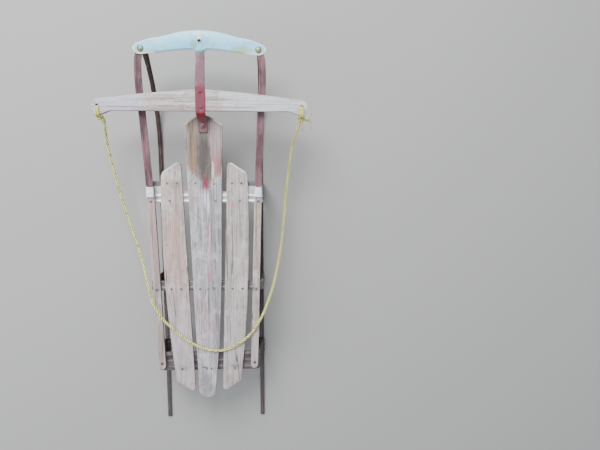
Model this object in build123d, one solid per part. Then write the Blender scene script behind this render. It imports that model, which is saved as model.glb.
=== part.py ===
from build123d import *

import os
from math import cos, pi, radians, sin, tan

# Steerable runner sled. A slatted wooden deck stands on three pressed-steel arches, which
# are riveted to two spring-steel runners. Each runner curls over at the front and comes back
# as a flat arm to the side rail. A stamped bumper ties the two curls together, and a wooden
# bar on a steel strap pushes that bumper sideways, which bends the runners and steers.
# Millimetres. X points to the sled's right, Y forwards, Z up, with the floor at Z = 0.

# Overall
SLED_LENGTH = 1222.0
REAR_END = -SLED_LENGTH / 2
BENCH_TOP = 141.0

# Runners: one grooved strip from the tail, over the curl and back to the side rail. The groove
# draws the lower run in, so it is narrower than the flat arm
RUNNER_X = 158.0
RUN_WIDTH = 14.0
STRIP_THICK = 3.0
GROOVE_WIDTH = 7.0
GROOVE_DEPTH = 1.6
FLEX_Y = 166.0
FLEX_GAP = 0.5
ARM_TOP = 176.0
CURL_RADIUS = 21.0
CURL_Y = 563.0
RISE_ANGLE = 50.0
RISE_RADIUS = 365.0
ARM_BEND_RADIUS = 120.0
ARM_FLAT_Y = 536.0
TONGUE_X = 156.1
TONGUE_Y = 206.0
TONGUE_FRONT_Y = 184.0
TONGUE_END_Y = 153.0
TONGUE_HALF = 6.0
TONGUE_LIFT = 0.2
# Plans of the strip's middle line: (Y, X, width). The arm bows outwards at the bar and cranks
# back in to the curl
ARM_PLAN = (
    (184.0, 156.3, 20.0), (216.0, 157.5, 20.0), (290.0, 161.0, 20.0), (391.0, 166.0, 20.0),
    (437.0, 170.0, 20.0), (470.0, 171.3, 20.0), (525.0, 171.3, 20.0), (543.0, 168.5, 20.0),
    (556.0, 164.5, 19.0), (566.0, 163.0, 18.0), (600.0, 163.0, 18.0),
)
LOWER_PLAN = (
    (150.0, 158.0, 14.0), (300.0, 158.5, 14.0), (450.0, 161.0, 14.0), (530.0, 162.6, 14.0),
    (570.0, 163.0, 18.0), (600.0, 163.0, 18.0),
)
# Both runs are flat behind this Y: the lower one slides sideways under the arch when it bends
GROOVE_START_Y = 206.0
PLAN_SPLIT_Z = 150.0

# Arches: Y of the middle, width of the top, width at the foot, half span, (offset, width) of
# each rib
ARCH_THICK = 1.8
ARCH_FLANGE = 5.5
ARCH_RIB_HEIGHT = 1.5
ARCH_FOOT_IN = 147.0
ARCH_FOOT_OUT = 167.0
ARCHES = {
    "front": dict(y=165.0, top=64.0, foot=50.0, half=167.0, ribs=((-28.2, 7.4), (-11.5, 9.0))),
    "middle": dict(y=-117.0, top=31.0, foot=27.0, half=168.0, ribs=((-6.5, 9.0),)),
    "rear": dict(y=-355.0, top=60.0, foot=46.0, half=153.0, ribs=((-20, 9), (0, 9), (20, 9))),
}
ARCH_SHOULDER_RADIUS = 14.0
ARCH_FOOT_RADIUS = 8.0
ARCH_KNEE_Z = 95.0
# The front arch is cut away in front between the planks: X range at the edge and at the depth
NOTCH_EDGE = (46.0, 80.0)
NOTCH_DEEP = (50.0, 72.0)
NOTCH_Y = 0.5

# Side rails
RAIL_WIDTH = 21.0
RAIL_TOP = 155.0
RAIL_FRONT = (156.2, 181.0)
RAIL_REAR = (139.6, -374.0)
RAIL_CORNER = (6.0, 8.0)
RAIL_EDGE = 1.0
CLIP_LENGTH = 29.0
CLIP_SHEET = 1.5
CLIP_HALF = 10.3

# Deck planks
PLANK_THICK = 10.0
PLANK_EDGE = 1.2
PLANK_TOP = BENCH_TOP + PLANK_THICK
# Centre plank: (Y, left X, right X), from the nose to the tail, which is sawn slightly askew
CENTRE_PLANK = (
    (385.0, -18.0, 18.0), (361.0, -53.0, 54.5), (166.0, -47.5, 50.0), (-100.0, -40.5, 43.5),
    (-300.0, -34.5, 34.0), (-444.0, -31.0, 18.5), (-453.0, -27.5, 14.5), (-465.0, -9.0, 5.0),
)
# Side planks, right one, from the inner rear corner on round the nose to the heel
PLANK_INNER = ((52.0, -438.0), (45.5, -441.5), (42.5, -434.0), (66.5, 241.0), (68.5, 249.0))
PLANK_NOSE = ((74.0, 251.5), (80.0, 251.0), (118.5, 225.5), (124.5, 214.0))
PLANK_BOW = (125.2, -40.0)
PLANK_HEEL = (98.0, -412.5)

# Steering bar, strap and bumper
PIVOT_Y = 357.0
PIVOT_RADIUS = 4.0
BAR_BOTTOM = 173.0
BAR_THICK = 17.0
BAR_TOP = BAR_BOTTOM + BAR_THICK
BAR_END_X = 276.5
BAR_END_Y = 405.0
BAR_END_RADIUS = 20.5
BAR_BOW_Y = 440.5
BAR_FRONT_Y = 451.5
BAR_FRONT_HALF = 14.0
BAR_BOW_X = 150.0
# Hollow along the bar's rear edge: its corner and a point past the round end
BAR_HOLLOW = ((238.0, 394.0), (266.0, 383.5))
BAR_EDGE = 2.0
ROPE_HOLE = (281.0, 405.5)
ROPE_HOLE_RADIUS = 5.0
STRAP_WIDTH = 27.0
STRAP_THICK = 4.0
# Half plan of the strap, X against Y from its rear end to its nose
STRAP_PLAN = ((13.5, 337.0), (13.5, 458.0), (12.3, 532.0), (12.3, 591.0), (6.5, 597.0))
STRAP_BENDS = (370.0, 387.5, 458.0, 532.0)
STRAP_JOGGLE_RADIUS = 5.0
STRAP_SLOPE_RADIUS = 12.0
BUMPER_TIE_X = 161.0
BUMPER_TIE_Y = 561.0
# Plan of the bumper, right half: an arc over the middle, then straight arms to soft points
BUMPER_CROWN = (0.0, SLED_LENGTH / 2)
BUMPER_FRONT = ((82.0, 599.0), (140.0, 584.6), (171.0, 575.0), (180.0, 566.5), (181.5, 562.0))
BUMPER_REAR = ((179.0, 555.0), (172.0, 547.5), (163.0, 545.0), (110.0, 551.8), (60.0, 557.0))
BUMPER_TAB = ((20.0, 560.0), (12.0, 555.5), (5.0, 547.5))
BUMPER_SHEET = 2.2
BUMPER_RIM = 6.0
BUMPER_RIM_SHEET = 1.8
BUMPER_RIM_REACH = 125.0
# Half width and front end of the gap in the rear rim through which the strap comes in
BUMPER_MOUTH = (30.0, 563.0)
BUMPER_LIFT = 0.2
CREST_HALF = 12.0
CREST_HEIGHT = 3.2
LINK_Y = 582.0
LINK_RADIUS = 5.0
LINK_BORE = 3.5
TIE_RADIUS = 3.5
TIE_FOOT_RADIUS = 6.0
# The slot round each end rivet reaches this far back and forwards from the rivet's middle
SLOT_BACK = 5.6
SLOT_FRONT = 4.1
SLOT_CLEAR = 0.3
RUN_CLEAR = 0.05
SEAT = 0.3

# Tow rope
ROPE_DIAMETER = 7.2
# The loop of rope through the bar's hole: its size along Y and Z
TIE_RING = (25.1, 25.4)
TIE_RING_RADIUS = 7.0
KNOT_RADIUS = 8.0
KNOT_PLACE = (281.0, 376.5, 176.0)
ROPE_GAP = 0.5
# Route of the free rope from the left knot round the deck to the right knot. Its ends are
# upright, so that the moving knots slide over them
ROPE_ROUTE = (
    (-281, 376.5, 162), (-281, 376.5, 148.5), (-285, 370.5, 127.5), (-292, 351, 107),
    (-294.5, 319, 91), (-290.5, 272, 80), (-281, 216, 73), (-267, 145, 69), (-243, 68, 71),
    (-215, -8, 88), (-193, -62, 115), (-175, -111, 145), (-162, -155, 164), (-143, -198, 164),
    (-114, -236, 157), (-76, -274, 155), (-33, -302, 155), (14, -318, 155), (60, -314, 155),
    (102, -291, 156), (137, -255, 164), (163.5, -211, 164), (184.5, -163, 148), (203, -108, 119),
    (216.5, -46, 92), (227, 26, 75), (234, 100, 67.5), (240.5, 174, 69), (247.5, 234, 76),
    (255, 284, 85), (263.5, 322, 94), (273, 350, 107.5), (279.3, 369.7, 127.5), (281, 376.5, 148.5),
    (281, 376.5, 162),
)


def prism(points, bottom, top):
    """A plan outline of (x, y) points, straight up from bottom to top."""
    face = make_face(Polyline(*points, close=True))
    return extrude(Pos(0, 0, bottom) * face, top - bottom)


def pin(x, y, bottom, top, radius):
    return Pos(x, y, (bottom + top) / 2) * Cylinder(radius, top - bottom)


def mirror_x(shape):
    return mirror(shape, about=Plane.YZ)


def corner_shift(inset, turn):
    """How far a corner moves back along its first run when both runs move inwards."""
    return inset * tan(radians(turn / 2))


def runner_line(inset, start_y, end_y):
    """Side view of the front runner in (y, z), offset inwards from the strip's outer face."""
    rise = radians(RISE_ANGLE)
    curl_z = ARM_TOP - CURL_RADIUS
    run_up = (curl_z - CURL_RADIUS * cos(rise)) / sin(rise)
    foot_y = CURL_Y + CURL_RADIUS * sin(rise) - run_up * cos(rise)
    run_over = (ARM_TOP - curl_z + CURL_RADIUS * cos(rise)) / sin(rise)
    head_y = CURL_Y + CURL_RADIUS * sin(rise) + run_over * cos(rise)
    tongue_top = RAIL_TOP + TONGUE_LIFT + STRIP_THICK
    points = [
        (start_y, inset),
        (foot_y - corner_shift(inset, RISE_ANGLE), inset),
        (head_y - corner_shift(inset, 180 - RISE_ANGLE), ARM_TOP - inset),
        (ARM_FLAT_Y, ARM_TOP - inset),
        (TONGUE_Y, tongue_top - inset),
        (end_y, tongue_top - inset),
    ]
    radii = [RISE_RADIUS - inset, CURL_RADIUS - inset, ARM_BEND_RADIUS, ARM_BEND_RADIUS]
    return FilletPolyline(*points, radius=radii)


def runner_layer(low, high, start_y, end_y, width):
    """The runner's side view between two insets, as a slab across X."""
    outer = runner_line(low, start_y, end_y)
    inner = runner_line(high, start_y, end_y)
    ends = [Line(outer @ 0, inner @ 0), Line(outer @ 1, inner @ 1)]
    face = make_face(outer.edges() + inner.edges() + ends)
    return extrude(Plane.YZ * face, width)


def plan_band(plan, bottom, top, half=None):
    """A band along a plan line of (y, x, width) points, or of one half width all along."""
    right = [(x + (half or width / 2), y) for y, x, width in plan]
    left = [(x - (half or width / 2), y) for y, x, width in reversed(plan)]
    return prism(right + left, bottom, top)


def runner_front():
    """Right front runner: lower run, curl, arm and the tongue held by the rail clip."""
    half = RUN_WIDTH / 2
    slab = runner_layer(0, STRIP_THICK, FLEX_Y - 8, TONGUE_END_Y, RUNNER_X + 60)
    deep = STRIP_THICK + GROOVE_DEPTH
    behind = Pos(RUNNER_X, GROOVE_START_Y - 50, 100) * Box(60, 100, 300)
    crest = runner_layer(GROOVE_DEPTH, deep, GROOVE_START_Y - 10, TONGUE_FRONT_Y, RUNNER_X + 60)
    crest -= behind
    body = None
    for plan, bottom, top in ((LOWER_PLAN, -1, PLAN_SPLIT_Z), (ARM_PLAN, PLAN_SPLIT_Z, ARM_TOP + 5)):
        groove = plan_band(plan, bottom - 1, top + 1, GROOVE_WIDTH / 2) - behind
        layer = slab & (plan_band(plan, bottom, top) - groove)
        layer += crest & plan_band(plan, bottom, top, GROOVE_WIDTH / 2)
        body = layer if body is None else body + layer
    sides = (TONGUE_X - TONGUE_HALF, TONGUE_X + TONGUE_HALF)
    tongue = [(x, TONGUE_END_Y - 1) for x in sides] + [(x, TONGUE_FRONT_Y + 4) for x in reversed(sides)]
    body += slab & prism(tongue, RAIL_TOP, RAIL_TOP + 10)
    body -= pin(RUNNER_X, FLEX_Y, -1, 20, half + FLEX_GAP)
    body -= Pos(RUNNER_X, FLEX_Y - 20, 5) * Box(60, 40, 20)
    slot_radius = TIE_RADIUS + SLOT_CLEAR
    ends = (BUMPER_TIE_Y - SLOT_BACK + slot_radius, BUMPER_TIE_Y + SLOT_FRONT - slot_radius)
    for y in ends:
        body -= pin(BUMPER_TIE_X, y, ARM_TOP - 11, ARM_TOP + 4, slot_radius)
    gap = Box(2 * slot_radius, ends[1] - ends[0], 15)
    return body - Pos(BUMPER_TIE_X, (ends[0] + ends[1]) / 2, ARM_TOP - 3.5) * gap


def runner_rear():
    """Right rear runner, straight from the tail to the flex point under the front arch."""
    length = FLEX_Y - REAR_END
    middle = (FLEX_Y + REAR_END) / 2
    lip = (RUN_WIDTH - GROOVE_WIDTH) / 2
    crest_z = GROOVE_DEPTH + STRIP_THICK / 2
    body = Pos(RUNNER_X, middle, crest_z) * Box(GROOVE_WIDTH, length, STRIP_THICK)
    for side in (-1, 1):
        x = RUNNER_X + side * (GROOVE_WIDTH + lip) / 2
        body += Pos(x, middle, STRIP_THICK / 2) * Box(lip, length, STRIP_THICK)
    return body + pin(RUNNER_X, FLEX_Y, 0, STRIP_THICK, RUN_WIDTH / 2)


def arch_line(inset, half):
    """End view of an arch in (x, z), offset inwards from its outer face."""
    foot_z = STRIP_THICK + GROOVE_DEPTH
    top_z = BENCH_TOP - ARCH_RIB_HEIGHT
    right = [
        (ARCH_FOOT_IN, foot_z + inset),
        (ARCH_FOOT_OUT - inset, foot_z + inset),
        (half - inset, top_z - inset),
    ]
    points = right + [(-x, z) for x, z in reversed(right)]
    foot, shoulder = ARCH_FOOT_RADIUS - inset, ARCH_SHOULDER_RADIUS - inset
    radii = [foot, shoulder, shoulder, foot]
    return FilletPolyline(*points, radius=radii)


def arch_layer(low, high, half, depth):
    outer = arch_line(low, half)
    inner = arch_line(high, half)
    ends = [Line(outer @ 0, inner @ 0), Line(outer @ 1, inner @ 1)]
    face = make_face(outer.edges() + inner.edges() + ends)
    return extrude(Plane.XZ * face, depth / 2, both=True)


def arch_taper(top, foot, margin):
    """Side view of an arch: full width above the knee, narrower at the foot."""
    half_top, half_foot = top / 2 - margin, foot / 2 - margin
    over = BENCH_TOP + 20
    right = [(half_foot, -1), (half_top, ARCH_KNEE_Z), (half_top, over)]
    outline = right + [(-y, z) for y, z in reversed(right)]
    return extrude(Plane.YZ * make_face(Polyline(*outline, close=True)), 200, both=True)


def notch_outline(grow, edge_y):
    """Plan of the notch beside the centre plank, in the front arch's own frame."""
    return [
        (NOTCH_EDGE[0] - grow, edge_y), (NOTCH_EDGE[1] + grow, edge_y),
        (NOTCH_DEEP[1] + grow, NOTCH_Y - grow), (NOTCH_DEEP[0] - grow, NOTCH_Y - grow),
    ]


def notch(body, edge_y):
    """Cut both notches into an arch's front edge and turn a flange down round each."""
    web_top = BENCH_TOP - ARCH_RIB_HEIGHT
    web_low = web_top - ARCH_FLANGE
    cut = prism(notch_outline(0, edge_y + 1), web_low - 1, BENCH_TOP + 1)
    wall = prism(notch_outline(ARCH_THICK, edge_y), web_low, web_top) - cut
    return body - cut - mirror_x(cut) + wall + mirror_x(wall)


def arch(top, foot, half, ribs):
    """Pressed arch: a thin web with an inward flange along both edges and ribs on top."""
    body = arch_layer(0, ARCH_FLANGE, half, 2 * top) & arch_taper(top, foot, 0)
    body -= arch_layer(ARCH_THICK, ARCH_FLANGE + 1, half, 2 * top) & arch_taper(top, foot, ARCH_THICK)
    for offset, width in ribs:
        rib = Box(2 * (half - ARCH_SHOULDER_RADIUS), width, ARCH_RIB_HEIGHT)
        body += Pos(0, offset, BENCH_TOP - ARCH_RIB_HEIGHT / 2) * rib
    return body


def rail_x(y):
    """X of a side rail's middle line at a given Y."""
    slope = (RAIL_FRONT[0] - RAIL_REAR[0]) / (RAIL_FRONT[1] - RAIL_REAR[1])
    return RAIL_REAR[0] + slope * (y - RAIL_REAR[1])


def side_rail():
    half = RAIL_WIDTH / 2
    front, rear = RAIL_FRONT[1], RAIL_REAR[1]
    cut_x, cut_y = RAIL_CORNER
    outline = [
        (rail_x(front) - half, front), (rail_x(front) + half, front),
        (rail_x(rear) + half, rear + cut_y), (rail_x(rear) + half - cut_x, rear),
        (rail_x(rear) - half + cut_x, rear), (rail_x(rear) - half, rear + cut_y),
    ]
    body = prism(outline, BENCH_TOP, RAIL_TOP)
    return chamfer(body.faces().sort_by(Axis.Z)[-1].edges(), RAIL_EDGE)


def rail_clip():
    """Saddle of bent sheet that holds the arm's tongue down on the rail's front end."""
    inner = CLIP_HALF - CLIP_SHEET
    under = RAIL_TOP + TONGUE_LIFT + STRIP_THICK + SEAT
    x, y = rail_x(RAIL_FRONT[1] - CLIP_LENGTH / 2), RAIL_FRONT[1] - CLIP_LENGTH / 2
    top = under + CLIP_SHEET
    block = Pos(x, y, (RAIL_TOP + top) / 2) * Box(2 * CLIP_HALF, CLIP_LENGTH, top - RAIL_TOP)
    block = fillet(block.edges().filter_by(Axis.Y).group_by(Axis.Z)[-1], CLIP_SHEET)
    hollow = Box(2 * inner, CLIP_LENGTH + 2, under - RAIL_TOP + 2)
    return block - Pos(x, y, (RAIL_TOP + under) / 2 - 1) * hollow


def centre_plank():
    right_edge = [(right, y) for y, left, right in CENTRE_PLANK]
    left_edge = [(left, y) for y, left, right in reversed(CENTRE_PLANK)]
    body = prism(right_edge + left_edge, BENCH_TOP, PLANK_TOP)
    body = chamfer(body.faces().sort_by(Axis.Z)[-1].edges(), PLANK_EDGE)
    return body - pin(0, PIVOT_Y, BENCH_TOP - 1, PLANK_TOP + 1, PIVOT_RADIUS)


def side_plank():
    outline = [
        Polyline(PLANK_HEEL, *PLANK_INNER, *PLANK_NOSE),
        ThreePointArc(PLANK_NOSE[-1], PLANK_BOW, PLANK_HEEL),
    ]
    body = extrude(Pos(0, 0, BENCH_TOP) * make_face(outline), PLANK_THICK)
    return chamfer(body.faces().sort_by(Axis.Z)[-1].edges(), PLANK_EDGE)


def steering_bar():
    """Wooden bar: bowed front edge, round drilled ends, shallow hollow along the rear edge."""
    front = [(-BAR_FRONT_HALF, BAR_FRONT_Y), (BAR_FRONT_HALF, BAR_FRONT_Y)]
    front += [(BAR_BOW_X, BAR_BOW_Y), (-BAR_BOW_X, BAR_BOW_Y)]
    outline = make_face(Polyline(*front, close=True)).edges()
    for side in (-1, 1):
        outline += (Pos(side * BAR_END_X, BAR_END_Y) * Circle(BAR_END_RADIUS)).edges()
    hollow = list(BAR_HOLLOW) + [(-x, y) for x, y in reversed(BAR_HOLLOW)]
    face = make_hull(outline) - make_face(Polyline(*hollow, close=True))
    body = extrude(Pos(0, 0, BAR_BOTTOM) * face, BAR_THICK)
    flats = body.faces().sort_by(Axis.Z)
    body = chamfer(flats[0].edges() + flats[-1].edges(), BAR_EDGE)
    for side in (-1, 1):
        body -= pin(side * ROPE_HOLE[0], ROPE_HOLE[1], BAR_BOTTOM - 1, BAR_TOP + 1, ROPE_HOLE_RADIUS)
    return body


def steering_strap():
    """Flat strap: pivot plate on the deck, a joggle up over the bar, a nose to the bumper."""
    low = PLANK_TOP + SEAT + STRAP_THICK / 2
    high = BAR_TOP + 0.1 + STRAP_THICK / 2
    nose = ARM_TOP - SEAT - STRAP_THICK / 2
    ends = (STRAP_PLAN[0][1], STRAP_PLAN[-1][1])
    path = list(zip((ends[0], *STRAP_BENDS, ends[1]), (low, low, high, high, nose, nose)))
    radii = [STRAP_JOGGLE_RADIUS] * 2 + [STRAP_SLOPE_RADIUS] * 2
    line = trace(FilletPolyline(*path, radius=radii), STRAP_THICK)
    side = extrude(Plane.YZ * line, STRAP_WIDTH, both=True)
    plan = list(STRAP_PLAN) + [(-x, y) for x, y in reversed(STRAP_PLAN)]
    body = side & prism(plan, 100, 220)
    body -= pin(0, PIVOT_Y, 140, 170, PIVOT_RADIUS + RUN_CLEAR)
    return body - pin(0, LINK_Y, 160, 190, LINK_RADIUS + RUN_CLEAR)


def pivot_bolt():
    """Bolt through the centre plank on which the strap turns, with its nut below."""
    head_z = PLANK_TOP + STRAP_THICK + 2 * SEAT
    shank = pin(0, PIVOT_Y, BENCH_TOP - 10, head_z + 1, PIVOT_RADIUS)
    dome = Pos(0, PIVOT_Y, head_z - 9) * Sphere(13.0)
    head = dome & pin(0, PIVOT_Y, head_z, head_z + 4, 9.0)
    nut = extrude(Pos(0, PIVOT_Y, BENCH_TOP - 7) * RegularPolygon(7.5, 6), 6.8)
    return shank + head + nut


def bumper_face(shrink):
    """Plan of the bumper: an arc over the middle, straight arms to soft points, a rear tab."""
    right = BUMPER_FRONT + BUMPER_REAR + BUMPER_TAB
    left = [(-x, y) for x, y in reversed(right)]
    crown = ThreePointArc(left[-1], BUMPER_CROWN, right[0])
    face = make_face([crown, Polyline(*right, *left)])
    return offset(face, -shrink, kind=Kind.INTERSECTION) if shrink else face


def bumper():
    """Stamped bumper: flat top, a rim turned down between the runners, a pressed crest."""
    bottom = ARM_TOP + BUMPER_LIFT
    body = extrude(Pos(0, 0, bottom) * bumper_face(0), BUMPER_SHEET)
    edge = bumper_face(0) - bumper_face(BUMPER_RIM_SHEET)
    rim = extrude(Pos(0, 0, bottom - BUMPER_RIM) * edge, BUMPER_RIM)
    rim &= Pos(0, LINK_Y, bottom) * Box(2 * BUMPER_RIM_REACH, 100, 30)
    mouth_half, mouth_y = BUMPER_MOUTH
    rim -= Pos(0, mouth_y - 20, bottom - 10) * Box(2 * mouth_half, 40, 20)
    body += rim
    right = [(CREST_HALF, 0), (CREST_HALF / 4, CREST_HEIGHT)]
    crest = right + [(-x, z) for x, z in reversed(right)]
    crest = extrude(Plane.XZ * make_face(Polyline(*crest, close=True)), -60)
    crest = Pos(0, 545, bottom + BUMPER_SHEET) * crest
    body += crest & extrude(Pos(0, 0, bottom) * bumper_face(BUMPER_RIM_SHEET), 12)
    body -= pin(0, LINK_Y, bottom - 8, bottom + 12, LINK_RADIUS)
    for side in (-1, 1):
        body -= pin(side * BUMPER_TIE_X, BUMPER_TIE_Y, bottom - 8, bottom + 12, TIE_RADIUS)
    return body


def bumper_link():
    """Hollow rivet that joins bumper and strap and leaves an eye through the middle."""
    top = ARM_TOP + BUMPER_LIFT + BUMPER_SHEET + CREST_HEIGHT
    foot = ARM_TOP - SEAT - STRAP_THICK - SEAT
    body = pin(0, LINK_Y, foot - 1.5, top, LINK_RADIUS)
    body += pin(0, LINK_Y, foot - 1.5, foot, 8.0)
    body += pin(0, LINK_Y, top, top + 1.0, 6.5)
    return body - pin(0, LINK_Y, foot - 5, top + 5, LINK_BORE)


def bumper_ties():
    """Domed rivets through the bumper's ends into the slots of both runners."""
    ties = []
    top = ARM_TOP + BUMPER_LIFT + BUMPER_SHEET
    foot = ARM_TOP - STRIP_THICK - GROOVE_DEPTH - 0.8
    for side in (-1, 1):
        x, y = side * BUMPER_TIE_X, BUMPER_TIE_Y
        head = (Pos(x, y, top - 8) * Sphere(12.5)) & pin(x, y, top, top + 5, 9.5)
        shank = pin(x, y, foot - 2, top, TIE_RADIUS) + pin(x, y, foot - 2, foot, TIE_FOOT_RADIUS)
        ties.append(shank + head)
    return Compound(children=ties)


def rope_tie():
    """Right rope end: a loop through the bar's hole, the knot behind the bar and a short stub."""
    ring_line = Pos(ROPE_HOLE[1] - TIE_RING[0] / 2, BAR_BOTTOM + BAR_THICK / 2)
    ring_line *= RectangleRounded(*TIE_RING, TIE_RING_RADIUS)
    ring_wire = (Plane.YZ.offset(ROPE_HOLE[0]) * ring_line).wire()
    start = Plane(ring_wire @ 0, z_dir=ring_wire % 0)
    body = sweep(start * Circle(ROPE_DIAMETER / 2), ring_wire)
    body += Pos(*KNOT_PLACE) * Sphere(KNOT_RADIUS)
    x, y, z = KNOT_PLACE
    return body + pin(x, y, ROPE_ROUTE[-1][2] + ROPE_GAP, z, ROPE_DIAMETER / 2)


def rope_loop():
    """The free rope, as straight runs joined by arcs as large as the runs allow."""
    points = [Vector(*p) for p in ROPE_ROUTE]
    radii = []
    for before, at, after in zip(points, points[1:], points[2:]):
        run_in, run_out = at - before, after - at
        turn = run_in.get_angle(run_out)
        radii.append(0.45 * min(run_in.length, run_out.length) / tan(radians(turn / 2)))
    path = FilletPolyline(*points, radius=radii)
    section = Plane(path @ 0, z_dir=path % 0) * Circle(ROPE_DIAMETER / 2)
    tube = sweep(section, path)
    runs = [(b - a).length for a, b in zip(points, points[1:])]
    print("rope: shortest and longest run", round(min(runs), 1), round(max(runs), 1))
    print("rope: radii", [round(r) for r in radii])
    print("rope: smallest radius in diameters", round(min(radii) / ROPE_DIAMETER, 1))
    print("rope: length", round(path.length), "volume over section times length",
          round(tube.volume / (path.length * pi * ROPE_DIAMETER**2 / 4), 4))
    return tube


def write(shape, name):
    export_step(shape, f"parts/{name}.step")


def main():
    os.makedirs("parts", exist_ok=True)
    write(centre_plank(), "deck_plank_center")
    write(steering_bar(), "steering_bar")
    write(steering_strap(), "steering_strap")
    write(pivot_bolt(), "steering_pivot_bolt")
    write(bumper(), "bumper")
    write(bumper_link(), "bumper_link_rivet")
    write(bumper_ties(), "bumper_end_rivets")
    write(rope_loop(), "rope_loop")
    for place, sizes in ARCHES.items():
        shape = arch(sizes["top"], sizes["foot"], sizes["half"], sizes["ribs"])
        if place == "front":
            shape = notch(shape, sizes["top"] / 2)
        write(Pos(0, sizes["y"], 0) * shape, f"arch_{place}")
    handed = {
        "deck_plank": side_plank(),
        "side_rail": side_rail(),
        "rail_clip": rail_clip(),
        "runner_front": runner_front(),
        "runner_rear": runner_rear(),
        "rope_tie": rope_tie(),
    }
    for name, shape in handed.items():
        write(shape, f"{name}_right")
        write(mirror_x(shape), f"{name}_left")


main()
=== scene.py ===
# %% [markdown]
# # A steerable runner sled
#
# This is a child's coasting sled: three wooden planks and two side rails on pressed steel arches,
# and under them two long strips of spring steel. Each strip is the runner, curls over at the front
# and comes back as a flat arm to the side rail. A wooden bar on a steel strap pushes the pale
# bumper sideways, the bumper bends both strips, and the sled turns.
#
# The solids were made in CAD and come in as a fixed frame. Here every piece gets the form that a
# close look needs: sheet steel with soft edges, worn planks, rivets, and a real twisted rope.

# %% Load the frame
import random
from math import atan2, cos, hypot, pi, radians, sin, sqrt, tan

import bmesh
import bpy
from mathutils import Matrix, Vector


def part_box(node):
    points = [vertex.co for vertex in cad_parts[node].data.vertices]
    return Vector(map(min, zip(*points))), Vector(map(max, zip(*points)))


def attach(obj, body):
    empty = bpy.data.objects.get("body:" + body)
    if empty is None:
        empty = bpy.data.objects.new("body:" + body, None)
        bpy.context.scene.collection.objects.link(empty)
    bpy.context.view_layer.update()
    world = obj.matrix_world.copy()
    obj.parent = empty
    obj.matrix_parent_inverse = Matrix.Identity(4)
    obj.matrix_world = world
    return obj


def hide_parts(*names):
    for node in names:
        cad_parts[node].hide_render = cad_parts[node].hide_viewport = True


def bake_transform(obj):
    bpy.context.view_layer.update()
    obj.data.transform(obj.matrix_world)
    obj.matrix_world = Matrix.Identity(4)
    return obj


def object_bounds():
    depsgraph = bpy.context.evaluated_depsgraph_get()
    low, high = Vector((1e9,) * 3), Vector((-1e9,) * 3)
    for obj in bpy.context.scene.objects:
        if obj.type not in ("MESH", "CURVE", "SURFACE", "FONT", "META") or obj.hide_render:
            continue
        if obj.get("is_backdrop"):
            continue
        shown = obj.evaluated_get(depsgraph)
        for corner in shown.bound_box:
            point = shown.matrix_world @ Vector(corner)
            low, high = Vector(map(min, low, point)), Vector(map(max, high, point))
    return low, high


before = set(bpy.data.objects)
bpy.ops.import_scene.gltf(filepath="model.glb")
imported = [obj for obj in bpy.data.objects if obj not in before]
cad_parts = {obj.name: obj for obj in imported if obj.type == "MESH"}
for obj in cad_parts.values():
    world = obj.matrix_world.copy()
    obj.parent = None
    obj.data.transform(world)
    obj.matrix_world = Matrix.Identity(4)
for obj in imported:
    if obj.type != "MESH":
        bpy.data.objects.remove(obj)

cad_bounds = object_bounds()
print("CAD box:", [round(v, 3) for corner in cad_bounds for v in corner])

# %% [markdown]
# ## The camera
#
# The sled leans back and the camera looks down on its deck, a little from its right and from
# behind the bumper. Laid flat, that is a camera 1.5 m above the floor. The place and the turn come
# from matching the sled's paired corners, rivets and runner ends; the lens is a short phone lens.

# %% The camera
CAMERA_PLACE = (0.2127, 0.2503, 1.528)
CAMERA_TURN = (-7.527, -2.735, 0.129)
CAMERA_LENS, CAMERA_SENSOR, NEAREST_SEEN = 28.06, 36, 0.05


def add_new(add, name, **settings):
    """Deselects everything, adds an object with an operator, and names it."""
    bpy.ops.object.select_all(action="DESELECT")
    add(**settings)
    bpy.context.object.name = name
    return bpy.context.object


camera_turn = [radians(a) for a in CAMERA_TURN]
camera = add_new(bpy.ops.object.camera_add, "Camera", location=CAMERA_PLACE, rotation=camera_turn)
camera.data.lens = CAMERA_LENS
camera.data.sensor_width = CAMERA_SENSOR
camera.data.clip_start = NEAREST_SEEN
bpy.context.scene.camera = camera
print("camera at", CAMERA_PLACE, "with a", CAMERA_LENS, "mm lens")

# %% [markdown]
# ## The tow rope's line
#
# A rope is modelled from its line outwards. It leaves the knot under the left end of the bar,
# sags beside the deck, climbs over the side rail, lies across the planks in a bow, and goes back
# to the right knot. A few given points are enough when they are the control points of a
# NURBS curve, because that curve never bends more sharply than a limp rope does.

# %% The rope's line
ROPE_THICKNESS = 0.0072
ROPE_ROUTE = (
    (-0.281, 0.3765, 0.162), (-0.281, 0.3765, 0.1485), (-0.285, 0.3705, 0.1275), (-0.292, 0.351, 0.107),
    (-0.2945, 0.319, 0.091), (-0.2905, 0.272, 0.08), (-0.281, 0.216, 0.073), (-0.267, 0.145, 0.069),
    (-0.243, 0.068, 0.071), (-0.215, -0.008, 0.088), (-0.193, -0.062, 0.115), (-0.175, -0.111, 0.145),
    (-0.162, -0.155, 0.164), (-0.143, -0.198, 0.164), (-0.114, -0.236, 0.157), (-0.076, -0.274, 0.155),
    (-0.033, -0.302, 0.155), (0.014, -0.318, 0.155), (0.06, -0.314, 0.155), (0.102, -0.291, 0.156),
    (0.137, -0.255, 0.164), (0.1635, -0.211, 0.164), (0.1845, -0.163, 0.148), (0.203, -0.108, 0.119),
    (0.2165, -0.046, 0.092), (0.227, 0.026, 0.075), (0.234, 0.1, 0.0675), (0.2405, 0.174, 0.069),
    (0.2475, 0.234, 0.076), (0.255, 0.284, 0.085), (0.2635, 0.322, 0.094), (0.273, 0.35, 0.1075),
    (0.2793, 0.3697, 0.1275), (0.281, 0.3765, 0.1485), (0.281, 0.3765, 0.162),
)


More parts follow.
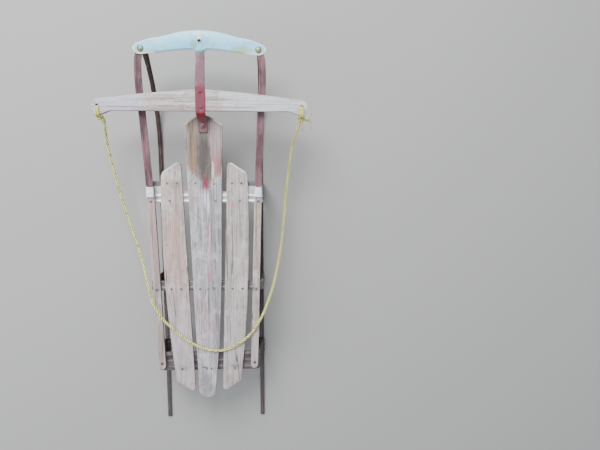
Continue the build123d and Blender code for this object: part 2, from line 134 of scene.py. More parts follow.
def nurbs_mesh(name, lines, **settings):
    """The mesh of smooth NURBS lines, each given by its control points as (place, radius)."""
    curve = bpy.data.curves.new(name, "CURVE")
    curve.dimensions = "3D"
    for key, value in settings.items():
        setattr(curve, key, value)
    for line in lines:
        spline = curve.splines.new("NURBS")
        spline.points.add(len(line) - 1)
        for point, (place, radius) in zip(spline.points, line):
            point.co, point.radius = (*place, 1.0), radius
        spline.order_u = 3
        spline.use_endpoint_u = True
    holder = bpy.data.objects.new(name, curve)
    mesh = bpy.data.meshes.new_from_object(holder)
    bpy.data.objects.remove(holder)
    return mesh


rope_line = nurbs_mesh("rope_line", [[(place, 1.0) for place in ROPE_ROUTE]], resolution_u=16)
rope_points = [v.co.copy() for v in rope_line.vertices]
bpy.data.meshes.remove(rope_line)
rope_length = sum((b - a).length for a, b in zip(rope_points, rope_points[1:]))
print("rope line:", len(rope_points), "points,", round(rope_length, 3), "m")

# %% [markdown]
# ## Twisted strands
#
# The cheap way to draw a rope is a smooth tube with a striped bump. Seen close, its outline gives
# it away. This rope is laid as the real one is: three strands wind round each other along the
# line, each a round tube of its own, so that the outline has the rope's notches.

# %% Numbers of the rope and two small helpers
ROPE_LAY, STEPS_PER_LAY = 0.029, 14
# Shares of the rope's thickness: how far out a strand's middle is, and its radius
STRAND_OUT, STRAND_RADIUS = 0.27, 0.29


def piece_from(name, mesh):
    """A smooth piece in the scene from a mesh that was made in code."""
    mesh.shade_smooth()
    piece = bpy.data.objects.new(name, mesh)
    bpy.context.collection.objects.link(piece)
    return piece


def mark(piece, name, numbers):
    """Stores a number at each point of a mesh, which its material reads as an attribute."""
    piece.data.attributes.new(name, "FLOAT", "POINT").data.foreach_set("value", numbers)


print("one turn of a strand takes", STEPS_PER_LAY, "steps of", round(ROPE_LAY / STEPS_PER_LAY, 5), "m")

# %% [markdown]
# The strands need a place at even steps along the line, and at each place two directions across
# it. The directions are carried from one place to the next, so that a bend does not add a twist.


# %% Even steps along a line
def spaced_along(points, step):
    """Places at even steps along a line of points."""
    places, left = [points[0].copy()], step
    for a, b in zip(points, points[1:]):
        run = (b - a).length
        while run >= left and run > 0:
            a = a + (b - a) * (left / run)
            places.append(a.copy())
            run, left = (b - a).length, step
        left -= run
    return places


def carried_frames(places, closed=False):
    """For each place the heading and two directions across it, carried along without a twist."""
    across = Vector((0, 0, 1))
    frames = []
    count = len(places)
    for i in range(count):
        before = places[i - 1] if i or closed else places[0]
        after = places[(i + 1) % count] if i < count - 1 or closed else places[-1]
        ahead = (after - before).normalized()
        if abs(ahead.dot(across)) > 0.95 and not frames:
            across = Vector((1, 0, 0))
        across = (across - ahead * across.dot(ahead)).normalized()
        frames.append((ahead, across, ahead.cross(across)))
    return frames


print("the rope is laid in", len(spaced_along(rope_points, ROPE_LAY / STEPS_PER_LAY)), "places")

# %% [markdown]
# Each strand is a tube of rings round a middle that circles the line. Its points also store how far
# out they are, from 0 at the line to 1 on the crest, so that shade can be painted between strands.


# %% Lay the strands
def lay_strands(name, points, thickness, lay=ROPE_LAY, strands=3, sides=10, closed=False):
    """A rope of that thickness: strands that go once round each other in each lay."""
    places = spaced_along(points, lay / STEPS_PER_LAY)
    if closed and (places[-1] - places[0]).length < lay / 20:
        places.pop()
    frames = carried_frames(places, closed)
    turns = len(places) / STEPS_PER_LAY
    if closed:
        turns = max(1, round(turns))
    offset, radius = thickness * STRAND_OUT, thickness * STRAND_RADIUS
    verts, faces, crests = [], [], []
    for strand in range(strands):
        start = len(verts)
        for i, (place, (_, side, up)) in enumerate(zip(places, frames)):
            angle = 2 * pi * (strand / strands + turns * i / len(places))
            out = side * cos(angle) + up * sin(angle)
            middle = place + out * offset
            for k in range(sides):
                a = 2 * pi * k / sides
                verts.append(middle + (side * cos(a) + up * sin(a)) * radius)
                crests.append((verts[-1] - place).length / (offset + radius))
        rings = len(places)
        for i in range(rings if closed else rings - 1):
            ring, after = start + i * sides, start + (i + 1) % rings * sides
            for k in range(sides):
                beside = (k + 1) % sides
                faces.append((ring + k, ring + beside, after + beside, after + k))
        if not closed:
            faces.append(tuple(start + k for k in reversed(range(sides))))
            faces.append(tuple(start + (rings - 1) * sides + k for k in range(sides)))
    mesh = bpy.data.meshes.new(name)
    mesh.from_pydata(verts, [], faces)
    piece = piece_from(name, mesh)
    mark(piece, "crest", crests)
    return piece


tow_rope = lay_strands("tow_rope", rope_points, ROPE_THICKNESS)
print("tow rope:", len(tow_rope.data.polygons), "faces")

# %% [markdown]
# ## Shader maths as Python
#
# A material is a small sum: grain times wear, plus dirt. Wiring Math nodes by hand hides that sum,
# so a socket is wrapped in a class whose operators add the nodes. Numbers alone stay in Python.


# %% The socket class
class Signal:
    """An output of a material's node tree. Adding or multiplying signals adds Math nodes."""

    def __init__(self, pot, socket):
        self.pot, self.socket = pot, socket

    def maths(self, operation, first, second):
        return self.pot.node("ShaderNodeMath", {"operation": operation}, {0: first, 1: second})

    def __add__(self, other):
        return self.maths("ADD", self, other)

    def __sub__(self, other):
        return self.maths("SUBTRACT", self, other)

    def __rsub__(self, other):
        return self.maths("SUBTRACT", other, self)

    def __mul__(self, other):
        return self.maths("MULTIPLY", self, other)

    def __pow__(self, other):
        return self.maths("POWER", self, other)

    def absolute(self):
        return self.maths("ABSOLUTE", self, 0)

    __radd__, __rmul__ = __add__, __mul__


print("signals can add, subtract, multiply and take powers")

# %% [markdown]
# A material is mixed in a pot, as a painter would do it. The pot holds the node tree, knows the
# few nodes that this sled needs, and pours all of it into the one glossy shader at the end.


# %% The paint pot
class PaintPot:
    """A material in the making: its node tree and its one glossy shader."""

    def __init__(self, name, **fixed):
        self.material = bpy.data.materials.new(name)
        self.material.use_nodes = True
        self.tree = self.material.node_tree
        self.shader = self.tree.nodes["Principled BSDF"]
        for socket, value in fixed.items():
            self.shader.inputs[socket.replace("_", " ")].default_value = value

    def node(self, kind, settings=None, sockets=None, out=0):
        """Any node: its settings first, then the values or signals of its sockets."""
        made = self.tree.nodes.new(kind)
        for key, value in (settings or {}).items():
            if key == "stops":
                self.set_stops(made.color_ramp, value)
            else:
                setattr(made, key, value)
        for key, value in (sockets or {}).items():
            self.feed(made.inputs[key], value)
        return Signal(self, made.outputs[out])

    def set_stops(self, ramp, stops):
        while len(ramp.elements) < len(stops):
            ramp.elements.new(0.5)
        for element, (place, shade) in zip(ramp.elements, stops):
            element.position = place
            element.color = (shade, shade, shade, 1)

    def feed(self, socket, value):
        if isinstance(value, Signal):
            self.tree.links.new(value.socket, socket)
        elif isinstance(value, tuple) and socket.type == "RGBA":
            socket.default_value = (*value[:3], 1)
        else:
            socket.default_value = value

    def place(self, stretch=(1, 1, 1)):
        """Where a point is on the object, with its axes stretched."""
        spot = self.node("ShaderNodeTexCoord", out="Object")
        return self.node("ShaderNodeMapping", {}, {"Vector": spot, "Scale": stretch})

    def axes(self, kind="Object"):
        """The x, y and z of a point on the object, or of its normal."""
        spot = self.node("ShaderNodeTexCoord", out=kind)
        split = self.node("ShaderNodeSeparateXYZ", {}, {0: spot})
        return [Signal(self, part) for part in split.socket.node.outputs]

    def noise(self, scale, stretch=(1, 1, 1), detail=4.0, rough=0.55, twist=0.0):
        sockets = {"Vector": self.place(stretch), "Scale": scale, "Detail": detail,
                   "Roughness": rough, "Distortion": twist}
        return self.node("ShaderNodeTexNoise", {}, sockets)

    def ramp(self, signal, *stops):
        return self.node("ShaderNodeValToRGB", {"stops": stops}, {0: signal})

    def step(self, signal, low, high):
        """0 below low, 1 above high, and a soft slope between."""
        settings = {"interpolation_type": "SMOOTHSTEP"}
        return self.node("ShaderNodeMapRange", settings, {0: signal, 1: low, 2: high})

    def mix(self, share, first, second):
        """Colours mixed by a share, from all of the first to all of the second."""
        settings = {"data_type": "RGBA"}
        return self.node("ShaderNodeMix", settings, {0: share, 6: first, 7: second}, out=2)

    def facing_up(self):
        """1 on level tops and undersides, 0 on edges and sides."""
        return self.axes("Normal")[2].absolute()

    def attribute(self, name):
        return self.node("ShaderNodeAttribute", {"attribute_name": name}, {}, out="Fac")

    def oval_patch(self, colour, x, y, oval_patch, hold=1.0):
        """A ragged oval patch: its X, Y, half width, half length, colour and share. Most patches are
        stains, but on the bumper two are a painted highlight and one is painted shade. Hold is how well
        each spot of the surface takes it."""
        middle_x, middle_y, half_x, half_y, tint, share = oval_patch
        reach = ((x - middle_x) * (1 / half_x)) ** 2 + ((y - middle_y) * (1 / half_y)) ** 2
        ragged = reach + (self.noise(75, (1, 0.3, 1), 4, 0.65) - 0.5) * 2.2
        return self.mix((1 - self.step(ragged, 0.0, 1.35)) * hold * share, colour, tint)

    def finish(self, colour, roughness, relief=None, depth=0.0):
        """The finished material: its colour, its roughness, and a relief of some depth in metres."""
        self.feed(self.shader.inputs["Base Color"], colour)
        self.feed(self.shader.inputs["Roughness"], roughness)
        if relief is not None:
            bump = {"Height": relief, "Distance": depth, "Strength": 1.0}
            self.feed(self.shader.inputs["Normal"], self.node("ShaderNodeBump", {}, bump))
        return self.material


print("the paint pot is ready")

# %% [markdown]
# Colours are read off a picture as numbers from 0 to 255, but a shader counts light, and the screen
# numbers follow a curve. One function turns the first into the second.


# %% Screen colours
def rgb(red, green, blue):
    """A screen colour of 0 to 255 as the linear light that a shader takes."""
    shares = [c / 255 for c in (red, green, blue)]
    return tuple(s / 12.92 if s < 0.04045 else ((s + 0.055) / 1.055) ** 2.4 for s in shares)


print("middle grey as light:", [round(part, 3) for part in rgb(128, 128, 128)])

# %% [markdown]
# ## Weathered wood
#
# The planks have lost their varnish, and sun and rain have turned the ash grey. Wood is sawn from
# a round trunk, so its growth rings are circles about a line that wanders below the board, and
# where the board cuts them they show as the long arches that everyone knows from floorboards. The
# rings are therefore worked out as that distance. Fine streaks, pores and long cracks are noise
# stretched along the grain. Side faces keep old red paint, but the bar's side faces are painted
# dark grey brown as painted shade, the dark line under its edges. The rubbed edges are nearly white.

# %% The recipe for wood
CRACK, BARE, OLD_RED = rgb(64, 54, 52), rgb(238, 234, 236), rgb(120, 68, 74)
RINGS_PER_METRE = 170
# Patches of weather: the noise's scale, stretch, detail and roughness, its ends, share and tint
WEATHER = (
    ((60, 0.5, 5, 0.65), (0.48, 0.64), 0.42, rgb(142, 136, 139)),
    ((34, 0.6, 4, 0.6), (0.52, 0.66), 0.4, rgb(226, 222, 224)),
    ((9, 0.5, 3, 0.5), (0.52, 0.70), 0.35, rgb(188, 150, 136)),
    ((170, 0.2, 4, 0.7), (0.53, 0.66), 0.38, rgb(122, 114, 118)),
)


def weathered_wood(name, axis, pale, dark, seed, stains, worn=(), front_brown=False, side=OLD_RED):
    """Grey wood with its grain along X or Y, stains of its own, and a nose worn white."""
    pot = PaintPot(name)
    x, y, _ = pot.axes()
    across = x if axis == "Y" else y

    def grain(scale, stretch, detail=4.0, rough=0.55, twist=0.0):
        ways = (1, stretch, 1) if axis == "Y" else (stretch, 1, 1)
        return pot.noise(scale + seed, ways, detail, rough, twist)

    sway, depth = grain(5, 0.3, 2, 0.4), grain(2.2, 1.0, 2, 0.4)
    distance = ((across + (sway - 0.5) * 0.05 + 0.004 * seed) ** 2 + (depth * 0.09) ** 2) ** 0.5
    rings = distance.maths("FRACT", distance * RINGS_PER_METRE, 0) ** 2.5
    bands, streaks = grain(24, 0.06, 3, 0.5, 0.3), grain(230, 0.03, 5, 0.65)
    tone = bands * 0.35 + streaks * 0.65 - rings * 0.07
    wood = pot.mix(pot.step(tone, 0.32, 0.62), dark, pale)
    for patch, ends, share, tint in WEATHER:
        wood = pot.mix(pot.step(grain(*patch), *ends) * share, wood, tint)
    if front_brown:
        edge = y - (x - 0.003).absolute() * 0.8 + (grain(38, 0.3, 3, 0.6) - 0.5) * 0.05
        brown = pot.mix(pot.step(streaks, 0.38, 0.60), rgb(84, 66, 56), rgb(136, 114, 98))
        wood = pot.mix(pot.step(edge, 0.178, 0.202) * 0.75, wood, brown)
    hold = pot.step(streaks, 0.34, 0.58) * 0.4 + 0.6
    for oval_patch in stains:
        wood = pot.oval_patch(wood, x, y, oval_patch, hold)
    pores = pot.step(grain(640, 0.02, 3, 0.6), 0.56, 0.70)
    wood = pot.mix(pores * 0.5, wood, rgb(98, 88, 86))
    line = (grain(34, 0.03, 2, 0.4) - 0.5).absolute()
    cracks = (1 - pot.step(line, 0.002, 0.012)) * pot.step(grain(13, 0.3, 2, 0.5), 0.50, 0.60)
    wood = pot.mix(cracks * 0.75, wood, CRACK)
    up = pot.facing_up()
    rub = pot.step(grain(60, 0.3, 3, 0.6), 0.36, 0.58)
    wood = pot.mix(pot.step(up, 0.3, 0.7) * (1 - pot.step(up, 0.90, 0.99)) * rub * 0.6, wood, BARE)
    for nx, ny, reach in worn:
        inside = reach - x.absolute() * nx - y * ny
        wood = pot.mix((1 - pot.step(inside, 0.0015, 0.005)) * (0.5 + rub * 0.4), wood, BARE)
    # Side faces take the side colour: old red paint on planks and rails, painted shade on the bar
    wood = pot.mix((1 - pot.step(up, 0.15, 0.5)) * rub * 0.7, wood, side)
    relief = streaks * 0.6 - rings * 0.15 - pores * 0.3 - cracks
    return pot.finish(wood, pot.ramp(tone, (0.2, 0.70), (0.8, 0.88)), relief, 0.0006)


print("patches of weather on each board:", len(WEATHER))

# %% [markdown]
# What makes each board its own is where it was stained: old varnish and red paint at the front of
# the centre plank, dark spots by the fasteners, pale patches towards the tail. Each stain is a
# ragged oval with a place on the deck.

# %% Stains
# X, Y, half width, half length, colour, share
CENTRE_STAINS = (
    (0.034, 0.310, 0.018, 0.090, rgb(186, 164, 170), 0.65),
    (-0.031, 0.290, 0.016, 0.080, rgb(136, 112, 78), 0.6),
    (-0.001, 0.268, 0.020, 0.088, rgb(72, 68, 67), 0.88),
    (0.0005, 0.325, 0.012, 0.013, rgb(82, 100, 88), 0.6),
    (0.038, 0.245, 0.010, 0.036, rgb(178, 104, 112), 0.65),
    (0.027, 0.268, 0.006, 0.030, rgb(184, 122, 126), 0.55),
    (-0.034, 0.236, 0.009, 0.020, rgb(166, 110, 84), 0.5),
    (0.025, 0.225, 0.0045, 0.030, rgb(240, 238, 242), 0.9),
    (0.0485, 0.150, 0.0022, 0.170, rgb(140, 62, 68), 0.6),
    (0.005, 0.191, 0.0105, 0.027, rgb(138, 34, 62), 0.9),
    (0.003, 0.182, 0.019, 0.008, rgb(140, 56, 78), 0.7),
    (0.0095, 0.135, 0.0045, 0.040, rgb(244, 247, 255), 1.0),
    (0.0010, 0.150, 0.0035, 0.032, rgb(236, 240, 252), 0.9),
    (0.0055, 0.145, 0.0015, 0.030, rgb(108, 108, 124), 0.8),
    (0.0130, 0.160, 0.0015, 0.030, rgb(110, 104, 130), 0.7),
    (0.0060, 0.040, 0.0050, 0.045, rgb(196, 96, 116), 0.5),
    (0.0130, -0.020, 0.0040, 0.040, rgb(200, 100, 120), 0.45),
    (0.0110, -0.085, 0.0140, 0.020, rgb(204, 104, 124), 0.5),
    (0.0045, -0.185, 0.0022, 0.075, rgb(62, 56, 58), 0.9),
    (-0.004, -0.130, 0.0020, 0.016, rgb(80, 72, 72), 0.7),
    (0.019, -0.121, 0.008, 0.003, rgb(60, 52, 50), 0.9),
    (-0.012, -0.371, 0.013, 0.003, rgb(78, 72, 72), 0.8),
    (-0.010, -0.420, 0.026, 0.040, rgb(122, 116, 120), 0.55),
    (0.0, -0.250, 0.030, 0.060, rgb(206, 166, 176), 0.35),
)
LEFT_STAINS = (
    (-0.090, 0.030, 0.020, 0.070, rgb(200, 156, 136), 0.5),
    (-0.090, 0.186, 0.018, 0.012, rgb(140, 132, 130), 0.5),
    (-0.078, -0.372, 0.020, 0.012, rgb(92, 86, 86), 0.75),
    (-0.084, -0.290, 0.045, 0.160, rgb(190, 191, 200), 0.6),
)
RIGHT_STAINS = (
    (0.077, 0.125, 0.014, 0.006, rgb(206, 128, 128), 0.5),
    (0.095, 0.170, 0.018, 0.012, rgb(200, 200, 170), 0.4),
    (0.080, -0.368, 0.017, 0.007, rgb(74, 70, 70), 0.85),
    (0.078, -0.300, 0.030, 0.120, rgb(196, 196, 204), 0.45),
)
RAIL_STAINS = (
    (-0.150, 0.060, 0.014, 0.170, rgb(178, 132, 140), 0.5),
    (-0.142, -0.300, 0.010, 0.060, rgb(150, 140, 132), 0.5),
    (0.151, 0.100, 0.010, 0.040, rgb(200, 176, 140), 0.4),
    (0.139, -0.320, 0.012, 0.050, rgb(196, 192, 208), 0.5),
)
BAR_STAINS = (
    (-0.225, 0.412, 0.085, 0.060, rgb(196, 202, 226), 0.6),
    (0.180, 0.412, 0.150, 0.080, rgb(222, 228, 238), 0.65),
    (-0.075, 0.405, 0.080, 0.004, rgb(140, 122, 116), 0.6),
    (-0.110, 0.425, 0.060, 0.003, rgb(134, 114, 106), 0.6),
    (-0.045, 0.418, 0.045, 0.0018, rgb(104, 88, 82), 0.75),
    (0.050, 0.426, 0.045, 0.0018, rgb(110, 94, 90), 0.7),
    (0.085, 0.404, 0.070, 0.0020, rgb(118, 102, 98), 0.65),
    (-0.190, 0.404, 0.060, 0.0020, rgb(116, 102, 104), 0.6),
    (0.0, 0.396, 0.120, 0.0022, rgb(170, 140, 120), 0.5),
)
deck_stains = (CENTRE_STAINS, LEFT_STAINS, RIGHT_STAINS, RAIL_STAINS, BAR_STAINS)
print("stains on planks, rails and bar:", [len(stains) for stains in deck_stains])

# %% [markdown]
# The boards differ in their two greys, in a seed that shifts their grain, and in their stains. The
# slanted noses of the planks are rubbed white, so they are given as lines on the deck.

# %% Wood for each board
# The noses as lines: the normal and the distance from the origin
NOSE = ((0.5522, 0.8337, 0.2534),)
CENTRE_NOSE = ((0.5547, 0.8321, 0.3303),)

left_wood = weathered_wood("left_plank_wood", "Y", rgb(210, 190, 186), rgb(150, 132, 130), 1,
                           LEFT_STAINS, NOSE)
right_wood = weathered_wood("right_plank_wood", "Y", rgb(206, 196, 195), rgb(148, 138, 137), 3,
                            RIGHT_STAINS, NOSE)
centre_wood = weathered_wood("centre_plank_wood", "Y", rgb(202, 202, 210), rgb(130, 125, 128), 5,
                             CENTRE_STAINS, CENTRE_NOSE, front_brown=True)
rail_wood = weathered_wood("rail_wood", "Y", rgb(206, 192, 186), rgb(140, 124, 118), 9, RAIL_STAINS)
# The bar's side colour is painted shade: dark grey brown for the shadow line under its edges
bar_wood = weathered_wood("bar_wood", "X", rgb(218, 211, 211), rgb(146, 130, 128), 13, BAR_STAINS,
                          side=rgb(112, 92, 88))
print("wood:", left_wood.name, right_wood.name, centre_wood.name, rail_wood.name, bar_wood.name)

# %% [markdown]
# ## Old red paint
#
# The steel was dipped in red paint. Handled and sunlit parts have chalked to a dull mauve; low
# down, near the snow, the paint is nearly black with rust and dirt, and the tails are rubbed to
# grey steel. The strap has kept the most red where the bar's wood shaded it.

# %% Painted steel
RUST_DARK, RUST = rgb(38, 28, 26), rgb(78, 56, 50)


def faded_paint(name, chalk, deep, fresh=None):
    """Chalked paint with chips and rust. The runners darken downwards; the strap has fresh paint."""
    pot = PaintPot(name)
    _, y, z = pot.axes()
    cloud = pot.noise(22, (1, 0.5, 1), 5, 0.6)
    grit = pot.noise(520, (1, 1, 1), 4, 0.7)
    rust = pot.mix(pot.step(grit, 0.35, 0.7), RUST_DARK, RUST)
    paint = pot.mix(pot.step(cloud, 0.36, 0.64), deep, chalk)
    chips = pot.step(pot.noise(150, (1, 0.4, 1), 6, 0.7), 0.58, 0.66)
    if fresh:
        rough_y = y + (cloud - 0.5) * 0.02
        kept = (1 - pot.step(rough_y, 0.455, 0.478)) * pot.step(rough_y, 0.370, 0.380)
        paint = pot.mix(kept * 0.85, paint, fresh)
        paint = pot.mix((1 - pot.step(rough_y, 0.386, 0.398)) * kept * 0.75, paint, rgb(140, 36, 46))
        paint = pot.mix((1 - pot.step(rough_y, 0.368, 0.376)) * 0.8, paint, rgb(112, 76, 82))
    else:
        low = 1 - pot.step(z + (cloud - 0.5) * 0.05, 0.125, 0.160)
        paint = pot.mix(low * pot.step(pot.noise(70, (1, 0.25, 1), 5, 0.7), 0.28, 0.42), paint, rust)
        tail = (1 - pot.step(y + (cloud - 0.5) * 0.3, -0.34, -0.10)) * low
        paint = pot.mix(tail * pot.step(grit, 0.30, 0.55) * 0.75, paint, rgb(92, 88, 92))
    paint = pot.mix(chips * 0.5, paint, rust)
    streaks = pot.step(pot.noise(330, (1, 0.05, 1), 3, 0.6), 0.55, 0.66)
    paint = pot.mix(streaks * 0.25, paint, rgb(176, 148, 150))
    return pot.finish(paint, 0.46 + grit * 0.3, grit * 0.5 - chips * 0.6, 0.0003)


arm_paint = faded_paint("runner_paint", rgb(126, 90, 98), rgb(82, 54, 62))
strap_paint = faded_paint("strap_paint", rgb(142, 110, 122), rgb(112, 70, 84), rgb(116, 26, 50))
print("paint:", arm_paint.name, strap_paint.name)

# %% [markdown]
# ## The bumper's paint
#
# The bumper is a pale ice blue. Its rolled edge is painted almost white, as rubbed paint and as a
# painted highlight along the rim. The ends and the tab are tarnished yellow green, and a little rust
# has run from the eye. Above the eye a white patch is a painted highlight on the ridge, and right of
# the eye a lilac patch is painted shade. The mesh carries an attribute called rim, 0 along the
# middle and 1 at the outline, which places the white edge.

# %% Bumper paint
link_low, link_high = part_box("bumper_link_rivet")
LINK_PLACE = (link_low + link_high) / 2
TARNISH, GREEN, WHITE = rgb(180, 186, 104), rgb(126, 166, 128), rgb(255, 255, 255)
# Tarnish and rust stains, and three patches of painted light by the eye: X, Y, half width, half length,
# colour, share
BUMPER_STAINS_AND_LIGHT = (
    (0.118, 0.560, 0.034, 0.013, TARNISH, 0.65), (-0.132, 0.553, 0.030, 0.008, TARNISH, 0.65),
    (0.170, 0.556, 0.014, 0.012, TARNISH, 0.5), (-0.172, 0.554, 0.012, 0.012, TARNISH, 0.5),
    (0.0, 0.552, 0.018, 0.008, GREEN, 0.9), (-0.015, 0.574, 0.012, 0.014, GREEN, 0.75),
    # The lilac patch right of the eye is painted shade
    (0.036, 0.572, 0.009, 0.010, GREEN, 0.45), (0.021, 0.583, 0.013, 0.013, rgb(160, 172, 214), 0.7),
    # The two white patches above the eye are a painted highlight on the ridge
    (-0.001, 0.603, 0.018, 0.009, WHITE, 0.9), (0.0, 0.592, 0.008, 0.008, WHITE, 0.8),
    (-0.0015, 0.579, 0.004, 0.005, rgb(112, 88, 56), 0.8),
)


def bumper_finish():
    pot = PaintPot("bumper_paint", Coat_Weight=0.7, Coat_Roughness=0.3)
    x, y, _ = pot.axes()
    cloud = pot.noise(30, (1, 1, 1), 4, 0.6)
    grime = pot.noise(90, (1, 0.6, 1), 5, 0.65)
    paint = pot.mix(pot.step(cloud, 0.30, 0.70), rgb(124, 212, 255), rgb(156, 230, 255))
    for oval_patch in BUMPER_STAINS_AND_LIGHT:
        paint = pot.oval_patch(paint, x, y, oval_patch)
    paint = pot.mix(pot.step(grime, 0.56, 0.72) * 0.22, paint, rgb(150, 166, 132))
    nicks = pot.step(pot.noise(160, (0.35, 2.2, 1), 3, 0.6), 0.62, 0.68)
    paint = pot.mix(nicks * pot.step(x.absolute(), 0.07, 0.12) * 0.6, paint, rgb(118, 122, 100))
    # Rubbed paint and painted highlight: the outline is painted almost white, where it wears and where it
    # catches light
    rubbed_and_highlit = pot.step(pot.attribute("rim") + (grime - 0.5) * 0.2, 0.62, 0.84)
    paint = pot.mix(rubbed_and_highlit * 0.95, paint, WHITE)
    return pot.finish(paint, 0.32 + grime * 0.2, grime - nicks * 0.5, 0.0002)


bumper_paint = bumper_finish()
print("bumper paint is mixed with", len(BUMPER_STAINS_AND_LIGHT), "stains")

# %% [markdown]
# ## Bare metal
#
# The arches are galvanised sheet: the front one still bright along its ribs, the rear one dull.
# Their legs are darker low down. The clips are bright plated sheet, and the heads of nails and bolts
# are dark or grey. One recipe makes them all, with a few shares that differ.

# %% Metals
# Bright and dull tint, lowest and highest roughness, share of dirt, and how metallic it is
METALS = {
    "arch_steel_front": (rgb(250, 251, 255), rgb(206, 209, 216), 0.3, 0.55, 0.3, 0.55),
    "arch_steel_middle": (rgb(164, 156, 160), rgb(110, 102, 106), 0.4, 0.65, 0.4, 0.4),
    "arch_steel_rear": (rgb(128, 120, 124), rgb(88, 80, 84), 0.45, 0.7, 0.5, 0.4),
    "clip_steel": (rgb(255, 255, 255), rgb(238, 241, 250), 0.2, 0.42, 0.05, 0.1),
    "bolt_steel": (rgb(112, 104, 104), rgb(66, 58, 58), 0.35, 0.7, 0.6, 1.0),
    "pivot_steel": (rgb(146, 104, 108), rgb(100, 64, 68), 0.35, 0.6, 0.3, 0.4),
    "nail_steel": (rgb(150, 146, 146), rgb(96, 92, 92), 0.4, 0.7, 0.5, 0.6),
    "rivet_steel": (rgb(162, 174, 146), rgb(96, 108, 84), 0.3, 0.55, 0.5, 0.6),
}
# Where the front arch's sheet turns dull, and where the arches' legs turn darker
DULL_FROM_Y, DARK_LEGS_Z = 0.1815, (0.105, 0.132)


def worn_metal(name, bright, dull, smooth, rough, dirt_share, metallic):
    """Worn metal. The arches' legs are darker low down, and the front one is dull along its front edge."""
    pot = PaintPot(name, Metallic=metallic)
    _, y, z = pot.axes()
    cloud = pot.noise(34, (1, 1, 1), 4, 0.6)
    fine = pot.noise(420, (1, 1, 1), 5, 0.7)
    colour = pot.mix(pot.step(cloud, 0.36, 0.64), dull, bright)
    if name == "arch_steel_front":
        front = pot.step(y + (cloud - 0.5) * 0.006, DULL_FROM_Y, DULL_FROM_Y + 0.004)
        colour = pot.mix(front * 0.8, colour, rgb(62, 64, 70))
    if name.startswith("arch"):
        # Low down the legs are darkened towards a dark brown
        legs = 1 - pot.step(z + (cloud - 0.5) * 0.04, *DARK_LEGS_Z)
        colour = pot.mix(legs * 0.85, colour, rgb(66, 52, 50))
    dirt = pot.step(cloud * 0.5 + fine * 0.5, 0.50, 0.62) * dirt_share
    colour = pot.mix(dirt, colour, rgb(74, 60, 54))
    return pot.finish(colour, smooth + fine * (rough - smooth) + dirt * 0.3, fine, 0.00015)


metals = {name: worn_metal(name, *recipe) for name, recipe in METALS.items()}
print("metals:", ", ".join(metals))

# %% [markdown]
# ## Rope yarn
#
# The rope is cheap yellow plastic twine. The grooves between its strands are painted dark, as
# painted shade, and the crests keep the yarn's own colour. The mesh says how far out a point is in
# an attribute called crest.

# %% Rope
def rope_finish(name, bright, shade, groove):
    pot = PaintPot(name, Sheen_Weight=0.2)
    fleck = pot.noise(260, (1, 1, 1), 4, 0.7)
    dirt = pot.noise(140, (1, 1, 1), 3, 0.6)
    yarn = pot.mix(pot.step(fleck, 0.34, 0.62), shade, bright)
    yarn = pot.mix(pot.step(dirt, 0.53, 0.62) * 0.65, yarn, rgb(92, 84, 34))
    # Painted shade: towards the rope's line the yarn turns to the groove colour, so the grooves look dark
    crest = pot.step(pot.attribute("crest") + (fleck - 0.5) * 0.25, 0.66, 0.90)
    yarn = pot.mix(crest, groove, yarn)
    return pot.finish(yarn, 0.6, fleck, 0.0004)


# The last colour of each yarn is the painted shade in the grooves between its strands
rope_yarn = rope_finish("rope_yarn", rgb(255, 255, 176), rgb(248, 242, 92), rgb(54, 54, 10))
fray_yarn = rope_finish("fray_yarn", rgb(252, 250, 196), rgb(232, 226, 130), rgb(150, 140, 84))
print("rope yarn is mixed")

# %% [markdown]
# ## Growing a strip
#
# Most of this sled is strip: steel, sheet or plank. On the real one a long blank is bent or sawn,
# so here too a short end section is grown along a path. The end is extruded a step, turned to the
# new heading and scaled to the new width, and then again, as one would do by hand. Without a
# window the turn operator goes the other way, so its angle is given with the opposite sign.


# %% Helpers for edit mode
def take(piece):
    """Makes one piece the only selected one and the active one."""
    bpy.ops.object.select_all(action="DESELECT")
    piece.select_set(True)
    bpy.context.view_layer.objects.active = piece


def work_on(piece, kind="VERT"):
    """Opens a piece in edit mode, with all of it selected."""
    take(piece)
    bpy.ops.object.mode_set(mode="EDIT")
    bpy.ops.mesh.select_mode(type=kind)
    bpy.ops.mesh.select_all(action="SELECT")


def close_up():
    """Merges doubled points, turns the faces outwards and leaves edit mode."""
    bpy.ops.mesh.select_all(action="SELECT")
    bpy.ops.mesh.remove_doubles(threshold=1e-6)
    bpy.ops.mesh.normals_make_consistent(inside=False)
    bpy.ops.object.mode_set(mode="OBJECT")


def extrude(step):
    bpy.ops.mesh.extrude_region_move(TRANSFORM_OT_translate={"value": step})


def spread(across, width, height):
    """Scales for the width, along X or Y, and for the height of a section."""
    return (width, 1, height) if across == "X" else (1, width, height)


def select_where(piece, test):
    """In edit mode, selects the points that pass a test of their place."""
    work = bmesh.from_edit_mesh(piece.data)
    for face in work.faces:
        face.select_set(False)
    for vert in work.verts:
        vert.select_set(test(vert.co))
    work.select_flush(True)
    bmesh.update_edit_mesh(piece.data)


print("helpers for edit mode are ready")

# %% [markdown]
# For sheet and strip the end section is a chain of points, which gets its wall later. For wood it
# is a slab's end. Its points can be lifted in columns across, and a lift made here runs on through
# the whole strip as a pressed groove or rib.


